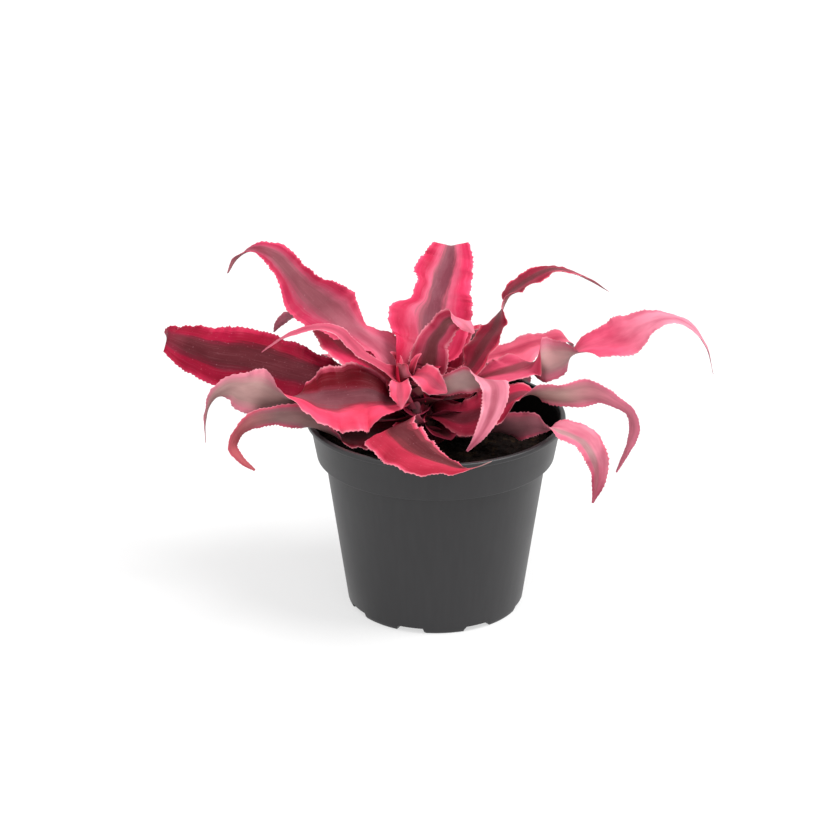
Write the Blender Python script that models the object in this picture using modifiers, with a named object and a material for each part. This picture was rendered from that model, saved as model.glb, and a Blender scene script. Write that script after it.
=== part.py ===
"""Potted earth star: a small bromeliad with pink and maroon leaves, in a 12 cm nursery pot.

Metres, +Z up. The origin is the centre of the pot's foot, on the ground. +X runs along the plant's
longest spread, and -Y is its front. Each leaf is its own object, seated on the short leaning stem.

A leaf's run is given by a few stations in millimetres and degrees:
(reach, swing, height, roll, width). Reach is measured outwards along the leaf's azimuth, swing to its
left-hand side, height from the ground. Roll turns the blade about its own line and lifts the
right-hand margin. Azimuth 0 is +X, 90 is the back and 270 the front.
"""

import math
from typing import NamedTuple

import bmesh
import bpy
import numpy as np
from mathutils import Matrix

MM = 0.001

# Pot, in millimetres
POT_HEIGHT = 93.0
POT_RIM_R = 60.0
POT_RIM_DEPTH = 2.2
POT_COLLAR_TOP_R = 58.0
POT_COLLAR_FOOT_R = 55.0
POT_COLLAR_FOOT_Z = 73.5
POT_BODY_TOP_R = 51.4
POT_FOOT_R = 41.4
POT_WALL = 1.4
POT_FLOOR = 1.8
POT_SEGMENTS = 72
FOOT_HEIGHT = 3.0
FOOT_WIDTH = 3.6
FOOT_COUNT = 8
FOOT_NOTCH_DEG = 18.0
FOOT_FIRST_NOTCH_DEG = -106.4
DRAIN_HOLE_R = 4.5
DRAIN_RING_R = 25.0

# Soil and stem, in millimetres
CLEAR = 0.35
SOIL_TOP = 79.0
SOIL_CROWN = 1.2
STEM_FOOT_Z = 70.0
STEM_TOP_Z = 112.0
STEM_REF_Z = 74.0
STEM_REF_R = 6.0
STEM_TOP_R = 2.8
STEM_LEAN = 14.0
STEM_SEGMENTS = 24

# Leaves, in millimetres
LEAF_THICK = 1.1
LEAF_STEP = 5.5
LEAF_ACROSS = 4
SEAT_CLEAR = 0.45


class Leaf(NamedTuple):
    """One leaf: where it starts on the stem, and how it runs from there."""

    name: str
    azimuth: float
    seat: tuple  # azimuth on the stem, height
    stations: tuple
    seat_width: float = 7.0
    seat_roll: float = 0.0
    seat_clear: float = 0.0
    fold: float = 12.0


LEAVES = (
    # Broad leaf arching out to the left, its end cupped and turned down.
    Leaf(
        "leaf_left_broad", azimuth=166, seat=(166, 92), fold=-14,
        stations=(
            (28, 4, 102, 20, 18), (50, 3, 106, 30, 26), (71, 3, 110, 45, 30),
            (89, 3, 113, 50, 31), (106, 3, 114, 50, 29), (120, 2, 117, 45, 22),
            (129, 1, 119, 40, 13), (131, -3, 117, 40, 9), (129, -10, 112, 40, 7),
            (124, -16, 107, 40, 2),
        ),
    ),
    # Rises steeply to the upper left and ends in a narrow, curled tip.
    Leaf(
        "leaf_left_high", azimuth=146, seat=(146, 102), fold=10,
        stations=(
            (34, 0, 119.5, 5, 16), (53, 3, 130, 25, 23), (66, 4, 139, 40, 24),
            (79, 5, 148, 25, 17), (87, 7, 155, 20, 13), (95, 13, 158, 10, 9),
            (100, 19, 154, 0, 5), (102, 23, 148, 0, 1),
        ),
    ),
    # Behind the two above: its arch and hanging end show between them.
    Leaf(
        "leaf_left_behind", azimuth=150, seat=(133, 97), seat_width=5, seat_clear=0.7, fold=15,
        stations=(
            (28, 4, 109.5, 8, 13), (36, 3.5, 113.5, 15, 22), (45, 2, 117, 18, 26),
            (55, -1, 120.5, 10, 24), (64, -5, 123, 0, 20), (72, -7, 125, -10, 17),
            (79, -7, 125, -20, 14), (85, -7, 122, -35, 10), (89.5, -6, 118, -40, 6),
            (92, -5, 114, -40, 1),
        ),
    ),
    # Inner leaf on the left: it arches over and its thin tip twists down.
    Leaf(
        "leaf_left_inner", azimuth=178, seat=(178, 107), seat_width=4.5, seat_clear=0.1, fold=10,
        stations=(
            (22, 5.5, 116, 10, 5), (33, 6.5, 124, 20, 6.5), (39, 8, 130.5, 30, 7),
            (42, 9, 134.5, 30, 6.5), (46, 10, 137.3, 20, 6), (51, 10, 138.4, 15, 5.5),
            (57, 10, 137.8, 15, 5), (63, 11, 136, 10, 4.5), (70, 13, 133.3, 0, 3.8),
            (75, 16, 130.8, 0, 2.8), (78, 18, 129, 0, 1),
        ),
    ),
    # Front left leaf: stands on edge near the stem, twists over and hangs at the tip.
    Leaf(
        "leaf_left_front", azimuth=196, seat=(196, 98), seat_clear=0.2, fold=8,
        stations=(
            (23, 3, 103, 20, 14), (34, 3.5, 107.5, 52, 28), (48, 5, 107.8, 55, 31),
            (57, 7, 109, 40, 27), (65, 7, 111, 0, 22), (73, 6, 111, -50, 20),
            (82, 5, 113, -85, 22), (90, 4, 115, -95, 20), (97, 3, 117, -90, 12),
            (102, 2, 115, -70, 8), (106, 0, 109, -40, 6), (108, 0, 100, -20, 4),
            (108, 0, 91, -20, 1),
        ),
    ),
    # Lowest leaf on the left: crosses the rim, then turns on edge and droops.
    Leaf(
        "leaf_left_low", azimuth=205, seat=(205, 85), fold=8,
        stations=(
            (26, -2, 86.5, 10, 18), (44, -3, 88.2, 20, 18.5), (56, -1, 94.4, -15, 15),
            (66, 1, 102, -75, 13), (79, -1, 105, -85, 10), (91, -4, 102, -85, 8),
            (96, -5, 97, -70, 7), (98, -5, 92, -60, 6), (95, -3, 86, -60, 4),
            (89, -2, 80, -60, 1),
        ),
    ),
    # Lies forward over the rim and sweeps to the right, with a dry, lifted tip.
    Leaf(
        "leaf_front", azimuth=300, seat=(262, 90), seat_width=6, fold=-8,
        stations=(
            (13, -24, 96, -15, 20), (21, -36, 100, -15, 24), (36, -38, 99.5, -20, 24),
            (48, -35, 97, -15, 20), (58, -28, 95, -5, 13), (63, -23.5, 94, 0, 7.5),
            (66, -19.5, 94.8, 0, 2.5), (70, -12, 98, 0, 1),
        ),
    ),
    # Stands up beside the stem, folds over and hangs down in front on the right.
    Leaf(
        "leaf_front_right", azimuth=312, seat=(295, 102), seat_width=6, seat_roll=20, seat_clear=0.1, fold=8,
        stations=(
            (9, -6, 109, 60, 9), (16, -3, 113.5, 78, 11), (26, -1, 117.5, 62, 14),
            (34, 0, 119.5, 20, 14.5), (40, -1, 118, -10, 13.5), (43, -4, 112, -25, 11),
            (44, -9, 105, -35, 7.5), (44, -14, 99, -40, 4.5), (42, -19, 93, -40, 1),
        ),
    ),
    # Short upright leaf at the centre with a curled top.
    Leaf(
        "leaf_centre_upright", azimuth=80, seat=(55, 106), seat_width=6,
        stations=(
            (8, 5, 113, 0, 19), (8, 4, 119, -2, 18), (8, 3, 125, -5, 15), (9, -1, 131, -5, 12.5),
            (9, -4, 135.5, 10, 12), (8, -8, 137.5, 30, 12), (6, -12, 136.5, 40, 9),
            (5, -17, 132, 40, 1),
        ),
    ),
    # Rises to the right, turns on edge half way and ends in a long thin tip.
    Leaf(
        "leaf_right_high", azimuth=38, seat=(18, 103), seat_width=6, fold=8,
        stations=(
            (16, -5, 114, 5, 17), (25, -4, 122, 10, 22), (33, -3, 129, 18, 20),
            (37.5, -1, 134.5, 32, 14), (40.5, 0, 138.5, 58, 7), (45, 0.5, 142, 25, 19),
            (53, -2, 147, 12, 17), (63, -6, 151, 5, 14), (74, -12, 148.5, 0, 9.5),
            (86, -21, 140, 0, 1),
        ),
    ),
    # Longest leaf on the right: twists once near the stem and hooks down at the end.
    Leaf(
        "leaf_right_long", azimuth=8, seat=(8, 97), fold=6,
        stations=(
            (12, 0, 105.4, 0, 14), (25, -1, 111, -5, 20), (36, -1, 113.2, -8, 23),
            (43.5, 0, 115, 0, 24), (47, 0.3, 115.6, 50, 24), (50.5, 0.6, 116, 85, 22.5),
            (55, 1, 116.3, 90, 20.5), (60, 1, 117.5, 75, 18), (65.5, 2, 119, 20, 14),
            (71, 3, 121, -10, 15), (79, 3, 122.5, -25, 19), (88, 3, 125.5, -35, 22),
            (98, 4, 130.5, -25, 17), (108, 4, 133, -10, 11), (119, 4, 129, -10, 8),
            (127, 2, 119, -10, 5), (131, 2, 105, -10, 1),
        ),
    ),
    # Right-hand leaf that stands on edge and hooks down over the rim.
    Leaf(
        "leaf_right_hooked", azimuth=340, seat=(340, 91), seat_clear=0.1, fold=8,
        stations=(
            (18, -7, 96, -35, 20), (26, -7, 100, -35, 26), (35, -5, 105.5, -25, 24),
            (43, -3, 109.5, 0, 19), (53, -2, 110.5, 60, 12), (62, -1, 111, 95, 10),
            (72, 2, 112.5, 95, 12.5), (78, 3, 112, 90, 9), (85, 4, 109, 80, 6),
            (91, 5, 105, 70, 6.5), (93, 6, 99, 60, 7), (91, 6, 88, 50, 5), (86, 4, 75, 50, 1),
        ),
    ),
    # Low leaf on the right that turns on edge, flattens again and hangs below the rim.
    Leaf(
        "leaf_right_low", azimuth=325, seat=(325, 84), seat_clear=0.3, fold=8,
        stations=(
            (20, 3, 86, 0, 16), (32, 3, 91.5, 38, 16), (46, 4, 96.5, 95, 12),
            (53, 4, 99, 90, 10), (59, 4, 98.5, 30, 9), (63, 6, 98.5, -15, 11),
            (69, 8, 97.5, -25, 12), (75.5, 10, 94.5, -30, 12.5), (80, 10, 89.5, -35, 11),
            (82, 11, 83, -40, 9), (82.5, 10, 76, -40, 6.5), (81, 8, 66, -40, 1),
        ),
    ),
    # Tall broad leaf at the back.
    Leaf(
        "leaf_back_tall", azimuth=92, seat=(95, 104), seat_width=4.5, seat_clear=0.45,
        stations=(
            (19, 2, 120.5, 0, 32), (26, 1.5, 128, 0, 37), (36, -0.5, 137, 0, 34.5),
            (44, -4, 142, 0, 30), (50, -6, 145.5, 0, 26), (56, -8, 149, 0, 23.5),
            (61, -9.2, 153, 0, 17.5), (67, -9.2, 151, 0, 14), (71, -8, 143, 0, 8),
            (72, -7.5, 136, 0, 2),
        ),
    ),
    # Young leaf folded towards the front of the heart.
    Leaf(
        "leaf_young_front", azimuth=265, seat=(245, 105.5), seat_width=4, fold=14,
        stations=(
            (13, -15.5, 112, -10, 10), (18, -15, 109, -10, 12.5), (22, -14, 103.5, -10, 1),
        ),
    ),
    # Young leaf folded over to the right of the heart.
    Leaf(
        "leaf_young_right", azimuth=320, seat=(315, 110.5), seat_width=5, fold=14,
        stations=(
            (5, -11.5, 115.4, -40, 12), (10, -12, 113.8, -60, 11.5), (15, -10, 110.5, -50, 1),
        ),
    ),
    # Low back leaf, right.
    Leaf(
        "leaf_back_right", azimuth=58, seat=(58, 88),
        stations=(
            (28, 0, 97, 0, 22), (50, 0, 101, 0, 25), (68, 0, 94, 0, 18), (80, 0, 82, 0, 8),
            (84, 0, 74, 0, 1),
        ),
    ),
    # Low back leaf, middle.
    Leaf(
        "leaf_back_middle", azimuth=105, seat=(105, 84),
        stations=(
            (28, 0, 91, 0, 20), (44, 0, 97, 0, 22), (56, 0, 99, 0, 18), (65, 0, 97, 0, 9),
            (70, 0, 92, 0, 1),
        ),
    ),
    # Low back leaf, left.
    Leaf(
        "leaf_back_left", azimuth=132, seat=(132, 87),
        stations=(
            (28, 0, 97, 0, 20), (50, 0, 105, 0, 25), (70, 0, 102, 0, 18), (84, 0, 91, 0, 8),
            (89, 0, 81, 0, 1),
        ),
    ),
    # Inner back leaf, between the tall back leaf and the right-hand ones.
    Leaf(
        "leaf_back_inner", azimuth=76, seat=(76, 94), seat_width=5, seat_clear=0.3,
        stations=(
            (18, 1.2, 106, 0, 15.5), (33, 1.7, 116, 0, 21), (50, 1.5, 117, 0, 21),
            (64, 0.5, 109, 0, 14), (72, 0, 99, 0, 1),
        ),
    ),
    # Behind the long right-hand leaf; a little of its arch shows over that leaf's middle.
    Leaf(
        "leaf_right_behind", azimuth=22, seat=(45, 99.5), seat_width=4.5, seat_clear=0.3, fold=10,
        stations=(
            (17, 6.5, 110.5, 0, 6), (26, 10.5, 111.5, -10, 8), (35, 13.5, 111.5, -15, 10),
            (44, 14, 112.5, -15, 12), (53, 13.5, 114.2, -10, 15), (62, 12.5, 115.4, -6, 16),
            (70, 11.5, 115.6, -3, 14), (75, 11, 110.5, 0, 1),
        ),
    ),
    # Tiny heart leaves at the top of the stem.
    Leaf(
        "leaf_heart_right", azimuth=30, seat=(30, 111.5), seat_width=4, seat_clear=0.1, fold=20,
        stations=(
            (-7.5, 6, 117, 0, 6), (-6, 6, 120, 0, 4), (-4, 6, 121.5, 0, 1),
        ),
    ),
    Leaf(
        "leaf_heart_left", azimuth=150, seat=(150, 111), seat_width=4, fold=20,
        stations=(
            (18.5, 4, 117, 0, 6), (20, 4, 119.5, 0, 4), (22, 4, 120.5, 0, 1),
        ),
    ),
    Leaf(
        "leaf_heart_front", azimuth=265, seat=(265, 111.5), seat_width=4, fold=20,
        stations=(
            (5.5, -15, 117, 0, 6), (7, -15, 119.5, 0, 4), (9, -15, 120.5, 0, 1),
        ),
    ),
)

POT_GREY = (0.060, 0.057, 0.060)
SOIL_BROWN = (0.022, 0.014, 0.009)
STEM_BROWN = (0.110, 0.060, 0.030)
LEAF_CRIMSON = (0.480, 0.020, 0.060)
LEAF_YOUNG = (0.640, 0.140, 0.190)


def material(name, colour, roughness):
    """A plain Principled material; every part here is non-metal."""
    made = bpy.data.materials.new(name)
    made.use_nodes = True
    shader = made.node_tree.nodes["Principled BSDF"]
    shader.inputs["Base Color"].default_value = (*colour, 1.0)
    shader.inputs["Roughness"].default_value = roughness
    shader.inputs["Metallic"].default_value = 0.0
    return made


def collection(name):
    """A new collection in the scene."""
    made = bpy.data.collections.new(name)
    bpy.context.scene.collection.children.link(made)
    return made


def add_mesh(name, bm, group, finish=None):
    """Turns a bmesh into a smooth-shaded object in the given collection."""
    mesh = bpy.data.meshes.new(name)
    bm.to_mesh(mesh)
    bm.free()
    mesh.shade_smooth()
    mesh.set_sharp_from_angle(angle=math.radians(35))
    made = bpy.data.objects.new(name, mesh)
    group.objects.link(made)
    if finish:
        mesh.materials.append(finish)
    return made


def add_turned(name, profile, segments, group, finish):
    """A turned shape: the profile's (radius, height) pairs in millimetres, run round the Z axis."""
    bm = bmesh.new()
    points = [bm.verts.new((r * MM, 0.0, z * MM)) for r, z in profile]
    for start, end in zip(points, points[1:]):
        bm.edges.new((start, end))
    made = add_mesh(name, bm, group, finish)
    screw = made.modifiers.new("turn", "SCREW")
    screw.steps = segments
    screw.render_steps = segments
    screw.use_merge_vertices = True
    screw.merge_threshold = 0.0001
    screw.use_smooth_shade = True
    return made


def add_cut(target, cutter):
    """Cuts the cutter out of the target with an exact Boolean."""
    cut = target.modifiers.new("cut_" + cutter.name, "BOOLEAN")
    cut.operation = "DIFFERENCE"
    cut.solver = "EXACT"
    cut.object = cutter
    cutter.hide_render = True
    cutter.display_type = "WIRE"


def body_radius(z):
    """Outside radius of the pot's body below the collar: a straight taper."""
    share = (z - FOOT_HEIGHT) / (POT_COLLAR_FOOT_Z - FOOT_HEIGHT)
    return POT_FOOT_R + (POT_BODY_TOP_R - POT_FOOT_R) * share


def pot_profile():
    """Half section of the pot, from the middle of its floor up the inside and down the outside.

    The thin wall steps out at the collar, which holds the stacking ledge, and ends in a small
    rolled lip. The foot is a ring that stands proud of the floor.
    """
    floor_z = FOOT_HEIGHT + POT_FLOOR
    inside = [(0.0, floor_z), (body_radius(floor_z) - POT_WALL - 2.4, floor_z)]
    inside += [(body_radius(floor_z + 1.0) - POT_WALL - 0.7, floor_z + 0.8)]
    for share in (0.06, 0.35, 0.65, 1.0):
        z = floor_z + share * (POT_COLLAR_FOOT_Z - POT_WALL - floor_z)
        inside.append((body_radius(z) - POT_WALL, z))
    inside += [(POT_COLLAR_FOOT_R - POT_WALL, POT_COLLAR_FOOT_Z + POT_WALL)]
    inside += [(POT_COLLAR_TOP_R - POT_WALL, POT_HEIGHT - POT_RIM_DEPTH)]
    inside += [(POT_COLLAR_TOP_R - POT_WALL + 0.5, POT_HEIGHT - 0.4)]
    rim = [
        (POT_COLLAR_TOP_R - POT_WALL + 1.0, POT_HEIGHT),
        (POT_RIM_R - 0.6, POT_HEIGHT),
        (POT_RIM_R, POT_HEIGHT - 0.6),
        (POT_RIM_R, POT_HEIGHT - POT_RIM_DEPTH + 0.4),
        (POT_RIM_R - 0.4, POT_HEIGHT - POT_RIM_DEPTH),
        (POT_COLLAR_TOP_R, POT_HEIGHT - POT_RIM_DEPTH - 0.6),
    ]
    outside = [
        (POT_COLLAR_FOOT_R, POT_COLLAR_FOOT_Z + 0.5),
        (POT_COLLAR_FOOT_R - 0.5, POT_COLLAR_FOOT_Z),
        (POT_BODY_TOP_R, POT_COLLAR_FOOT_Z),
    ]
    for z in (50.0, 26.0, 9.0, 3.0):
        outside.append((body_radius(z), z))
    foot = [
        (POT_FOOT_R - 0.3, 1.2),
        (POT_FOOT_R - 0.7, 0.4),
        (POT_FOOT_R - 1.2, 0.0),
        (POT_FOOT_R - 1.2 - FOOT_WIDTH, 0.0),
        (POT_FOOT_R - 1.6 - FOOT_WIDTH, FOOT_HEIGHT),
        (0.0, FOOT_HEIGHT),
    ]
    return inside + rim + outside + foot


def add_pot(group, cutters):
    """The nursery pot, with notches through its foot ring and drain holes in its floor."""
    finish = material("pot_plastic", POT_GREY, 0.42)
    pot = add_turned("pot", pot_profile(), POT_SEGMENTS, group, finish)
    notch_width = 2.0 * math.radians(FOOT_NOTCH_DEG / 2.0) * (POT_FOOT_R - 4.0)
    bm = bmesh.new()
    for index in range(FOOT_COUNT):
        turn = math.radians(FOOT_FIRST_NOTCH_DEG) + 2.0 * math.pi * index / FOOT_COUNT
        size = Matrix.Diagonal((14.0 * MM, notch_width * MM, 2.0 * (FOOT_HEIGHT - 0.4) * MM, 1.0))
        place = Matrix.Rotation(turn, 4, "Z") @ Matrix.Translation((POT_FOOT_R * MM, 0.0, 0.0))
        bmesh.ops.create_cube(bm, size=1.0, matrix=place @ size)
    add_cut(pot, add_mesh("foot_notches", bm, cutters))
    bm = bmesh.new()
    for index in range(FOOT_COUNT // 2):
        turn = math.radians(FOOT_FIRST_NOTCH_DEG) + 4.0 * math.pi * index / FOOT_COUNT
        middle = (DRAIN_RING_R * MM * math.cos(turn), DRAIN_RING_R * MM * math.sin(turn), FOOT_HEIGHT * MM)
        bmesh.ops.create_cone(
            bm,
            cap_ends=True,
            segments=16,
            radius1=DRAIN_HOLE_R * MM,
            radius2=DRAIN_HOLE_R * MM,
            depth=4.0 * POT_FLOOR * MM,
            matrix=Matrix.Translation(middle),
        )
    add_cut(pot, add_mesh("drain_holes", bm, cutters))
    return pot


def stem_centre(z):
    """X of the stem's middle line at a height: it leans to the left as it rises."""
    return -STEM_LEAN * (z - STEM_REF_Z) / (STEM_TOP_Z - STEM_REF_Z)


def stem_radius(z):
    """Radius of the tapering stem at a height."""
    return STEM_REF_R + (STEM_TOP_R - STEM_REF_R) * (z - STEM_REF_Z) / (STEM_TOP_Z - STEM_REF_Z)


def stem_mesh(low, high, extra):
    """A tapered cylinder between two heights, sheared over so that it leans like the stem."""
    bm = bmesh.new()
    bmesh.ops.create_cone(
        bm,
        cap_ends=True,
        segments=STEM_SEGMENTS,
        radius1=(stem_radius(low) + extra) * MM,
        radius2=(stem_radius(high) + extra) * MM,
        depth=(high - low) * MM,
        matrix=Matrix.Translation((0.0, 0.0, 0.5 * (low + high) * MM)),
    )
    lean = Matrix.Identity(4)
    lean[0][2] = -STEM_LEAN / (STEM_TOP_Z - STEM_REF_Z)
    lean[0][3] = stem_centre(0.0) * MM
    bmesh.ops.transform(bm, matrix=lean, verts=bm.verts)
    return bm


def add_soil(group, cutters):
    """The potting soil: it fills the pot to just above the ledge, and holds the foot of the stem."""
    low = FOOT_HEIGHT + POT_FLOOR + CLEAR
    profile = [(0.0, SOIL_TOP + SOIL_CROWN), (20.0, SOIL_TOP + 0.7 * SOIL_CROWN), (40.0, SOIL_TOP)]
    top_r = POT_COLLAR_FOOT_R - POT_WALL - CLEAR
    profile += [(top_r - 1.0, SOIL_TOP - 0.8), (top_r, SOIL_TOP - 1.8), (top_r, POT_COLLAR_FOOT_Z + 1.9)]
    for z in (POT_COLLAR_FOOT_Z - 0.6, 50.0, 26.0, low + 3.0):
        profile.append((body_radius(z) - POT_WALL - CLEAR - 0.1, z))
    profile += [(body_radius(low) - POT_WALL - CLEAR - 3.2, low), (0.0, low)]
    soil = add_turned("soil", profile, 48, group, material("soil", SOIL_BROWN, 0.95))
    socket = add_mesh("stem_socket", stem_mesh(STEM_FOOT_Z - CLEAR, SOIL_TOP + 6.0, CLEAR), cutters)
    add_cut(soil, socket)
    return soil


def add_stem(group):
    """The short woody stem that carries every leaf."""
    bm = stem_mesh(STEM_FOOT_Z, STEM_TOP_Z, 0.0)
    return add_mesh("stem", bm, group, material("stem", STEM_BROWN, 0.75))


def hermite(knots, values, at):
    """A smooth curve through values at the knots, with slopes taken from their neighbours."""
    slopes = np.gradient(values, knots, axis=0)
    low = np.clip(np.searchsorted(knots, at, side="right") - 1, 0, len(knots) - 2)
    span = (knots[low + 1] - knots[low])[:, None]
    s = (at[:, None] - knots[low][:, None]) / span
    start = (1 + 2 * s) * (1 - s) ** 2 * values[low] + s * (1 - s) ** 2 * span * slopes[low]
    end = s**2 * (3 - 2 * s) * values[low + 1] + s**2 * (s - 1) * span * slopes[low + 1]
    return start + end


def directions(azimuth):
    """Unit vectors outwards along an azimuth and to its right-hand side."""
    turn = math.radians(azimuth)
    outwards = np.array([math.cos(turn), math.sin(turn), 0.0])
    right = np.array([math.sin(turn), -math.cos(turn), 0.0])
    return outwards, right


def seat_station(leaf):
    """The first station of a leaf, just clear of the stem's side where the leaf is seated.

    The clearance allows for the blade's thickness where it climbs along the stem, and for the
    stem's lean on the side it leans to.
    """
    seat_azimuth, z = leaf.seat
    outwards, right = directions(leaf.azimuth)
    from_stem, _ = directions(seat_azimuth)
    reach, swing, height = leaf.stations[0][:3]
    target = reach * outwards - swing * right + np.array([0.0, 0.0, height])
    axis = np.array([stem_centre(z), 0.0, z])
    clear = 0.0
    for _ in range(3):
        start = axis + (stem_radius(z) + clear) * from_stem
        climb = abs(target[2] - z) / np.linalg.norm(target - start)
        clear = SEAT_CLEAR + leaf.seat_clear + 0.5 * LEAF_THICK * climb + 0.25 * max(0.0, -from_stem[0])
    start = axis + (stem_radius(z) + clear) * from_stem
    return (start @ outwards, -(start @ right), z, leaf.seat_roll, leaf.seat_width)


def leaf_line(leaf):
    """Evenly spaced (reach, swing, height, roll, width) rows along a leaf, and its length."""
    stations = np.array([seat_station(leaf), *leaf.stations], dtype=float)
    chords = np.linalg.norm(np.diff(stations[:, :3], axis=0), axis=1)
    knots = np.concatenate([[0.0], np.cumsum(chords)])
    fine = np.linspace(0.0, knots[-1], 400)
    run = hermite(knots, stations, fine)
    steps = np.linalg.norm(np.diff(run[:, :3], axis=0), axis=1)
    arc = np.concatenate([[0.0], np.cumsum(steps)])
    rows = max(6, round(arc[-1] / LEAF_STEP))
    at = np.interp(np.linspace(0.0, arc[-1], rows), arc, fine)
    line = hermite(knots, stations, at)
    straight = np.interp(at, knots, stations[:, 4])
    line[:, 4] = 0.3 * straight + 0.7 * np.maximum(line[:, 4], 0.8)
    return line


def leaf_frame(line, azimuth):
    """Middle line, right-hand direction and top-face direction of each row, in millimetres."""
    outwards, right = directions(azimuth)
    up = np.array([0.0, 0.0, 1.0])
    middle = line[:, 0:1] * outwards - line[:, 1:2] * right + line[:, 2:3] * up
    along = np.gradient(middle, axis=0)
    along /= np.linalg.norm(along, axis=1, keepdims=True)
    level = right - (along @ right)[:, None] * along
    level /= np.linalg.norm(level, axis=1, keepdims=True)
    roll = np.radians(line[:, 3:4])
    side = np.cos(roll) * level + np.sin(roll) * np.cross(level, along)
    return middle, side, np.cross(side, along)


def add_leaf(leaf, group, finish):
    """A leaf: a flat grid bent onto the leaf's run and folded along its middle, then thickened."""
    line = leaf_line(leaf)
    middle, side, face = leaf_frame(line, leaf.azimuth)
    rows = len(line)
    u = np.linspace(0.0, 1.0, rows)
    fold = np.radians(leaf.fold - 6.0 * np.clip(1.0 - u / 0.25, 0.0, 1.0) ** 1.5)
    bm = bmesh.new()
    bmesh.ops.create_grid(bm, x_segments=LEAF_ACROSS, y_segments=rows - 1, size=1.0)
    for vert in bm.verts:
        row = round((vert.co.y + 1.0) / 2.0 * (rows - 1))
        half = 0.5 * line[row, 4]
        across = half * vert.co.x * math.cos(fold[row])
        lift = half * abs(vert.co.x) * math.sin(fold[row])
        vert.co = (middle[row] + across * side[row] + lift * face[row]) * MM
    made = add_mesh(leaf.name, bm, group, finish)
    solid = made.modifiers.new("thickness", "SOLIDIFY")
    solid.thickness = LEAF_THICK * MM
    solid.offset = 0.0
    return made


def main():
    for old in list(bpy.data.objects):
        bpy.data.objects.remove(old, do_unlink=True)
    plant = collection("potted_earth_star")
    cutters = collection("cutters")
    add_pot(plant, cutters)
    add_soil(plant, cutters)
    add_stem(plant)
    for leaf in LEAVES:
        young = "young" in leaf.name or "heart" in leaf.name
        colour = LEAF_YOUNG if young else LEAF_CRIMSON
        add_leaf(leaf, plant, material(leaf.name, colour, 0.45))


if __name__ == "__main__":
    main()
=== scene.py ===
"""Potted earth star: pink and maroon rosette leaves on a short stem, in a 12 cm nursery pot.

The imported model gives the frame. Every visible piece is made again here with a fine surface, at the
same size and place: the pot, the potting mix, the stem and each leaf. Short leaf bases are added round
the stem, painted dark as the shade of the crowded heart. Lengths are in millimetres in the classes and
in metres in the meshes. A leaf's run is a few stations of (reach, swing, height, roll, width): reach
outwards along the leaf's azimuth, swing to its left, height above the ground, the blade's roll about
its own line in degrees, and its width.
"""

from __future__ import annotations

import logging
import math
from dataclasses import dataclass, field
from enum import Enum

import bpy
import numpy as np
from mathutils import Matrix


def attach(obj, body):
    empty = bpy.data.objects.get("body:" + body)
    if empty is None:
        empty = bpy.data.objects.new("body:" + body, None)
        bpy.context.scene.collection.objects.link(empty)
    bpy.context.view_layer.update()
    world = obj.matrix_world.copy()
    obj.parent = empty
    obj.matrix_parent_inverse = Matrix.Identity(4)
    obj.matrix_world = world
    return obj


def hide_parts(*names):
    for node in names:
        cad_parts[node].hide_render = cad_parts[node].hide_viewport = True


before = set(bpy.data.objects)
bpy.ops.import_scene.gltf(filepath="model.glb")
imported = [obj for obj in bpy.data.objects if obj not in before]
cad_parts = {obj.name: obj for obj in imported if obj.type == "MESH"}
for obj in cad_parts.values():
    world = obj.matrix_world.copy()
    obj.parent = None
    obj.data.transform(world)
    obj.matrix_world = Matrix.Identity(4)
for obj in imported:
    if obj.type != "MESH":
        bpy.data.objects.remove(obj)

LOG = logging.getLogger("earth_star")
MM = 0.001
FULL_TURN = 2.0 * math.pi


# --- small helpers -----------------------------------------------------------------------------


def linear(hex_colour: str) -> tuple[float, float, float, float]:
    """Turns an sRGB hex colour into linear RGBA.

    Args:
        hex_colour: Six hex digits, with or without a leading '#'.

    Returns:
        Red, green and blue on the linear scale, and an alpha of 1.
    """
    digits = hex_colour.lstrip("#")
    parts = [int(digits[i : i + 2], 16) / 255.0 for i in (0, 2, 4)]
    red, green, blue = [c / 12.92 if c <= 0.04045 else ((c + 0.055) / 1.055) ** 2.4 for c in parts]
    return (red, green, blue, 1.0)


def add_node(tree: bpy.types.NodeTree, kind: str, settings: dict | None = None, **links) -> bpy.types.Node:
    """Adds one node with its settings, values and links.

    Args:
        tree: The node tree that gets the node.
        kind: The node's type name.
        settings: Properties of the node; 'stops' holds a ramp's (place, hex colour) pairs, and
            'values' a dict of input name or number to a constant or to the socket that feeds it.
        **links: More inputs by name, with spaces written as underscores.

    Returns:
        The new node.
    """
    node = tree.nodes.new(kind)
    settings = dict(settings or {})
    stops = settings.pop("stops", None)
    values = dict(settings.pop("values", {}))
    values.update({name.replace("_", " "): value for name, value in links.items()})
    for name, value in settings.items():
        setattr(node, name, value)
    if stops:
        while len(node.color_ramp.elements) < len(stops):
            node.color_ramp.elements.new(0.5)
        for element, (place, colour) in zip(node.color_ramp.elements, stops):
            element.position = place
            element.color = linear(colour)
    for name, value in values.items():
        if isinstance(value, bpy.types.NodeSocket):
            tree.links.new(value, node.inputs[name])
        else:
            node.inputs[name].default_value = value
    return node


def compute(
    tree: bpy.types.NodeTree, operation: str, *values: bpy.types.NodeSocket | float
) -> bpy.types.NodeSocket:
    """One step of arithmetic on sockets and constants."""
    settings = {"operation": operation, "values": dict(enumerate(values))}
    return add_node(tree, "ShaderNodeMath", settings).outputs[0]


def remap(
    tree: bpy.types.NodeTree,
    value: bpy.types.NodeSocket,
    start: float,
    end: float,
    low: float = 0.0,
    high: float = 1.0,
) -> bpy.types.NodeSocket:
    """Takes a value that runs from start to end to low to high, and holds it beyond both."""
    values = {"Value": value, "From Min": start, "From Max": end, "To Min": low, "To Max": high}
    return add_node(tree, "ShaderNodeMapRange", {"values": values}).outputs[0]


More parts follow.
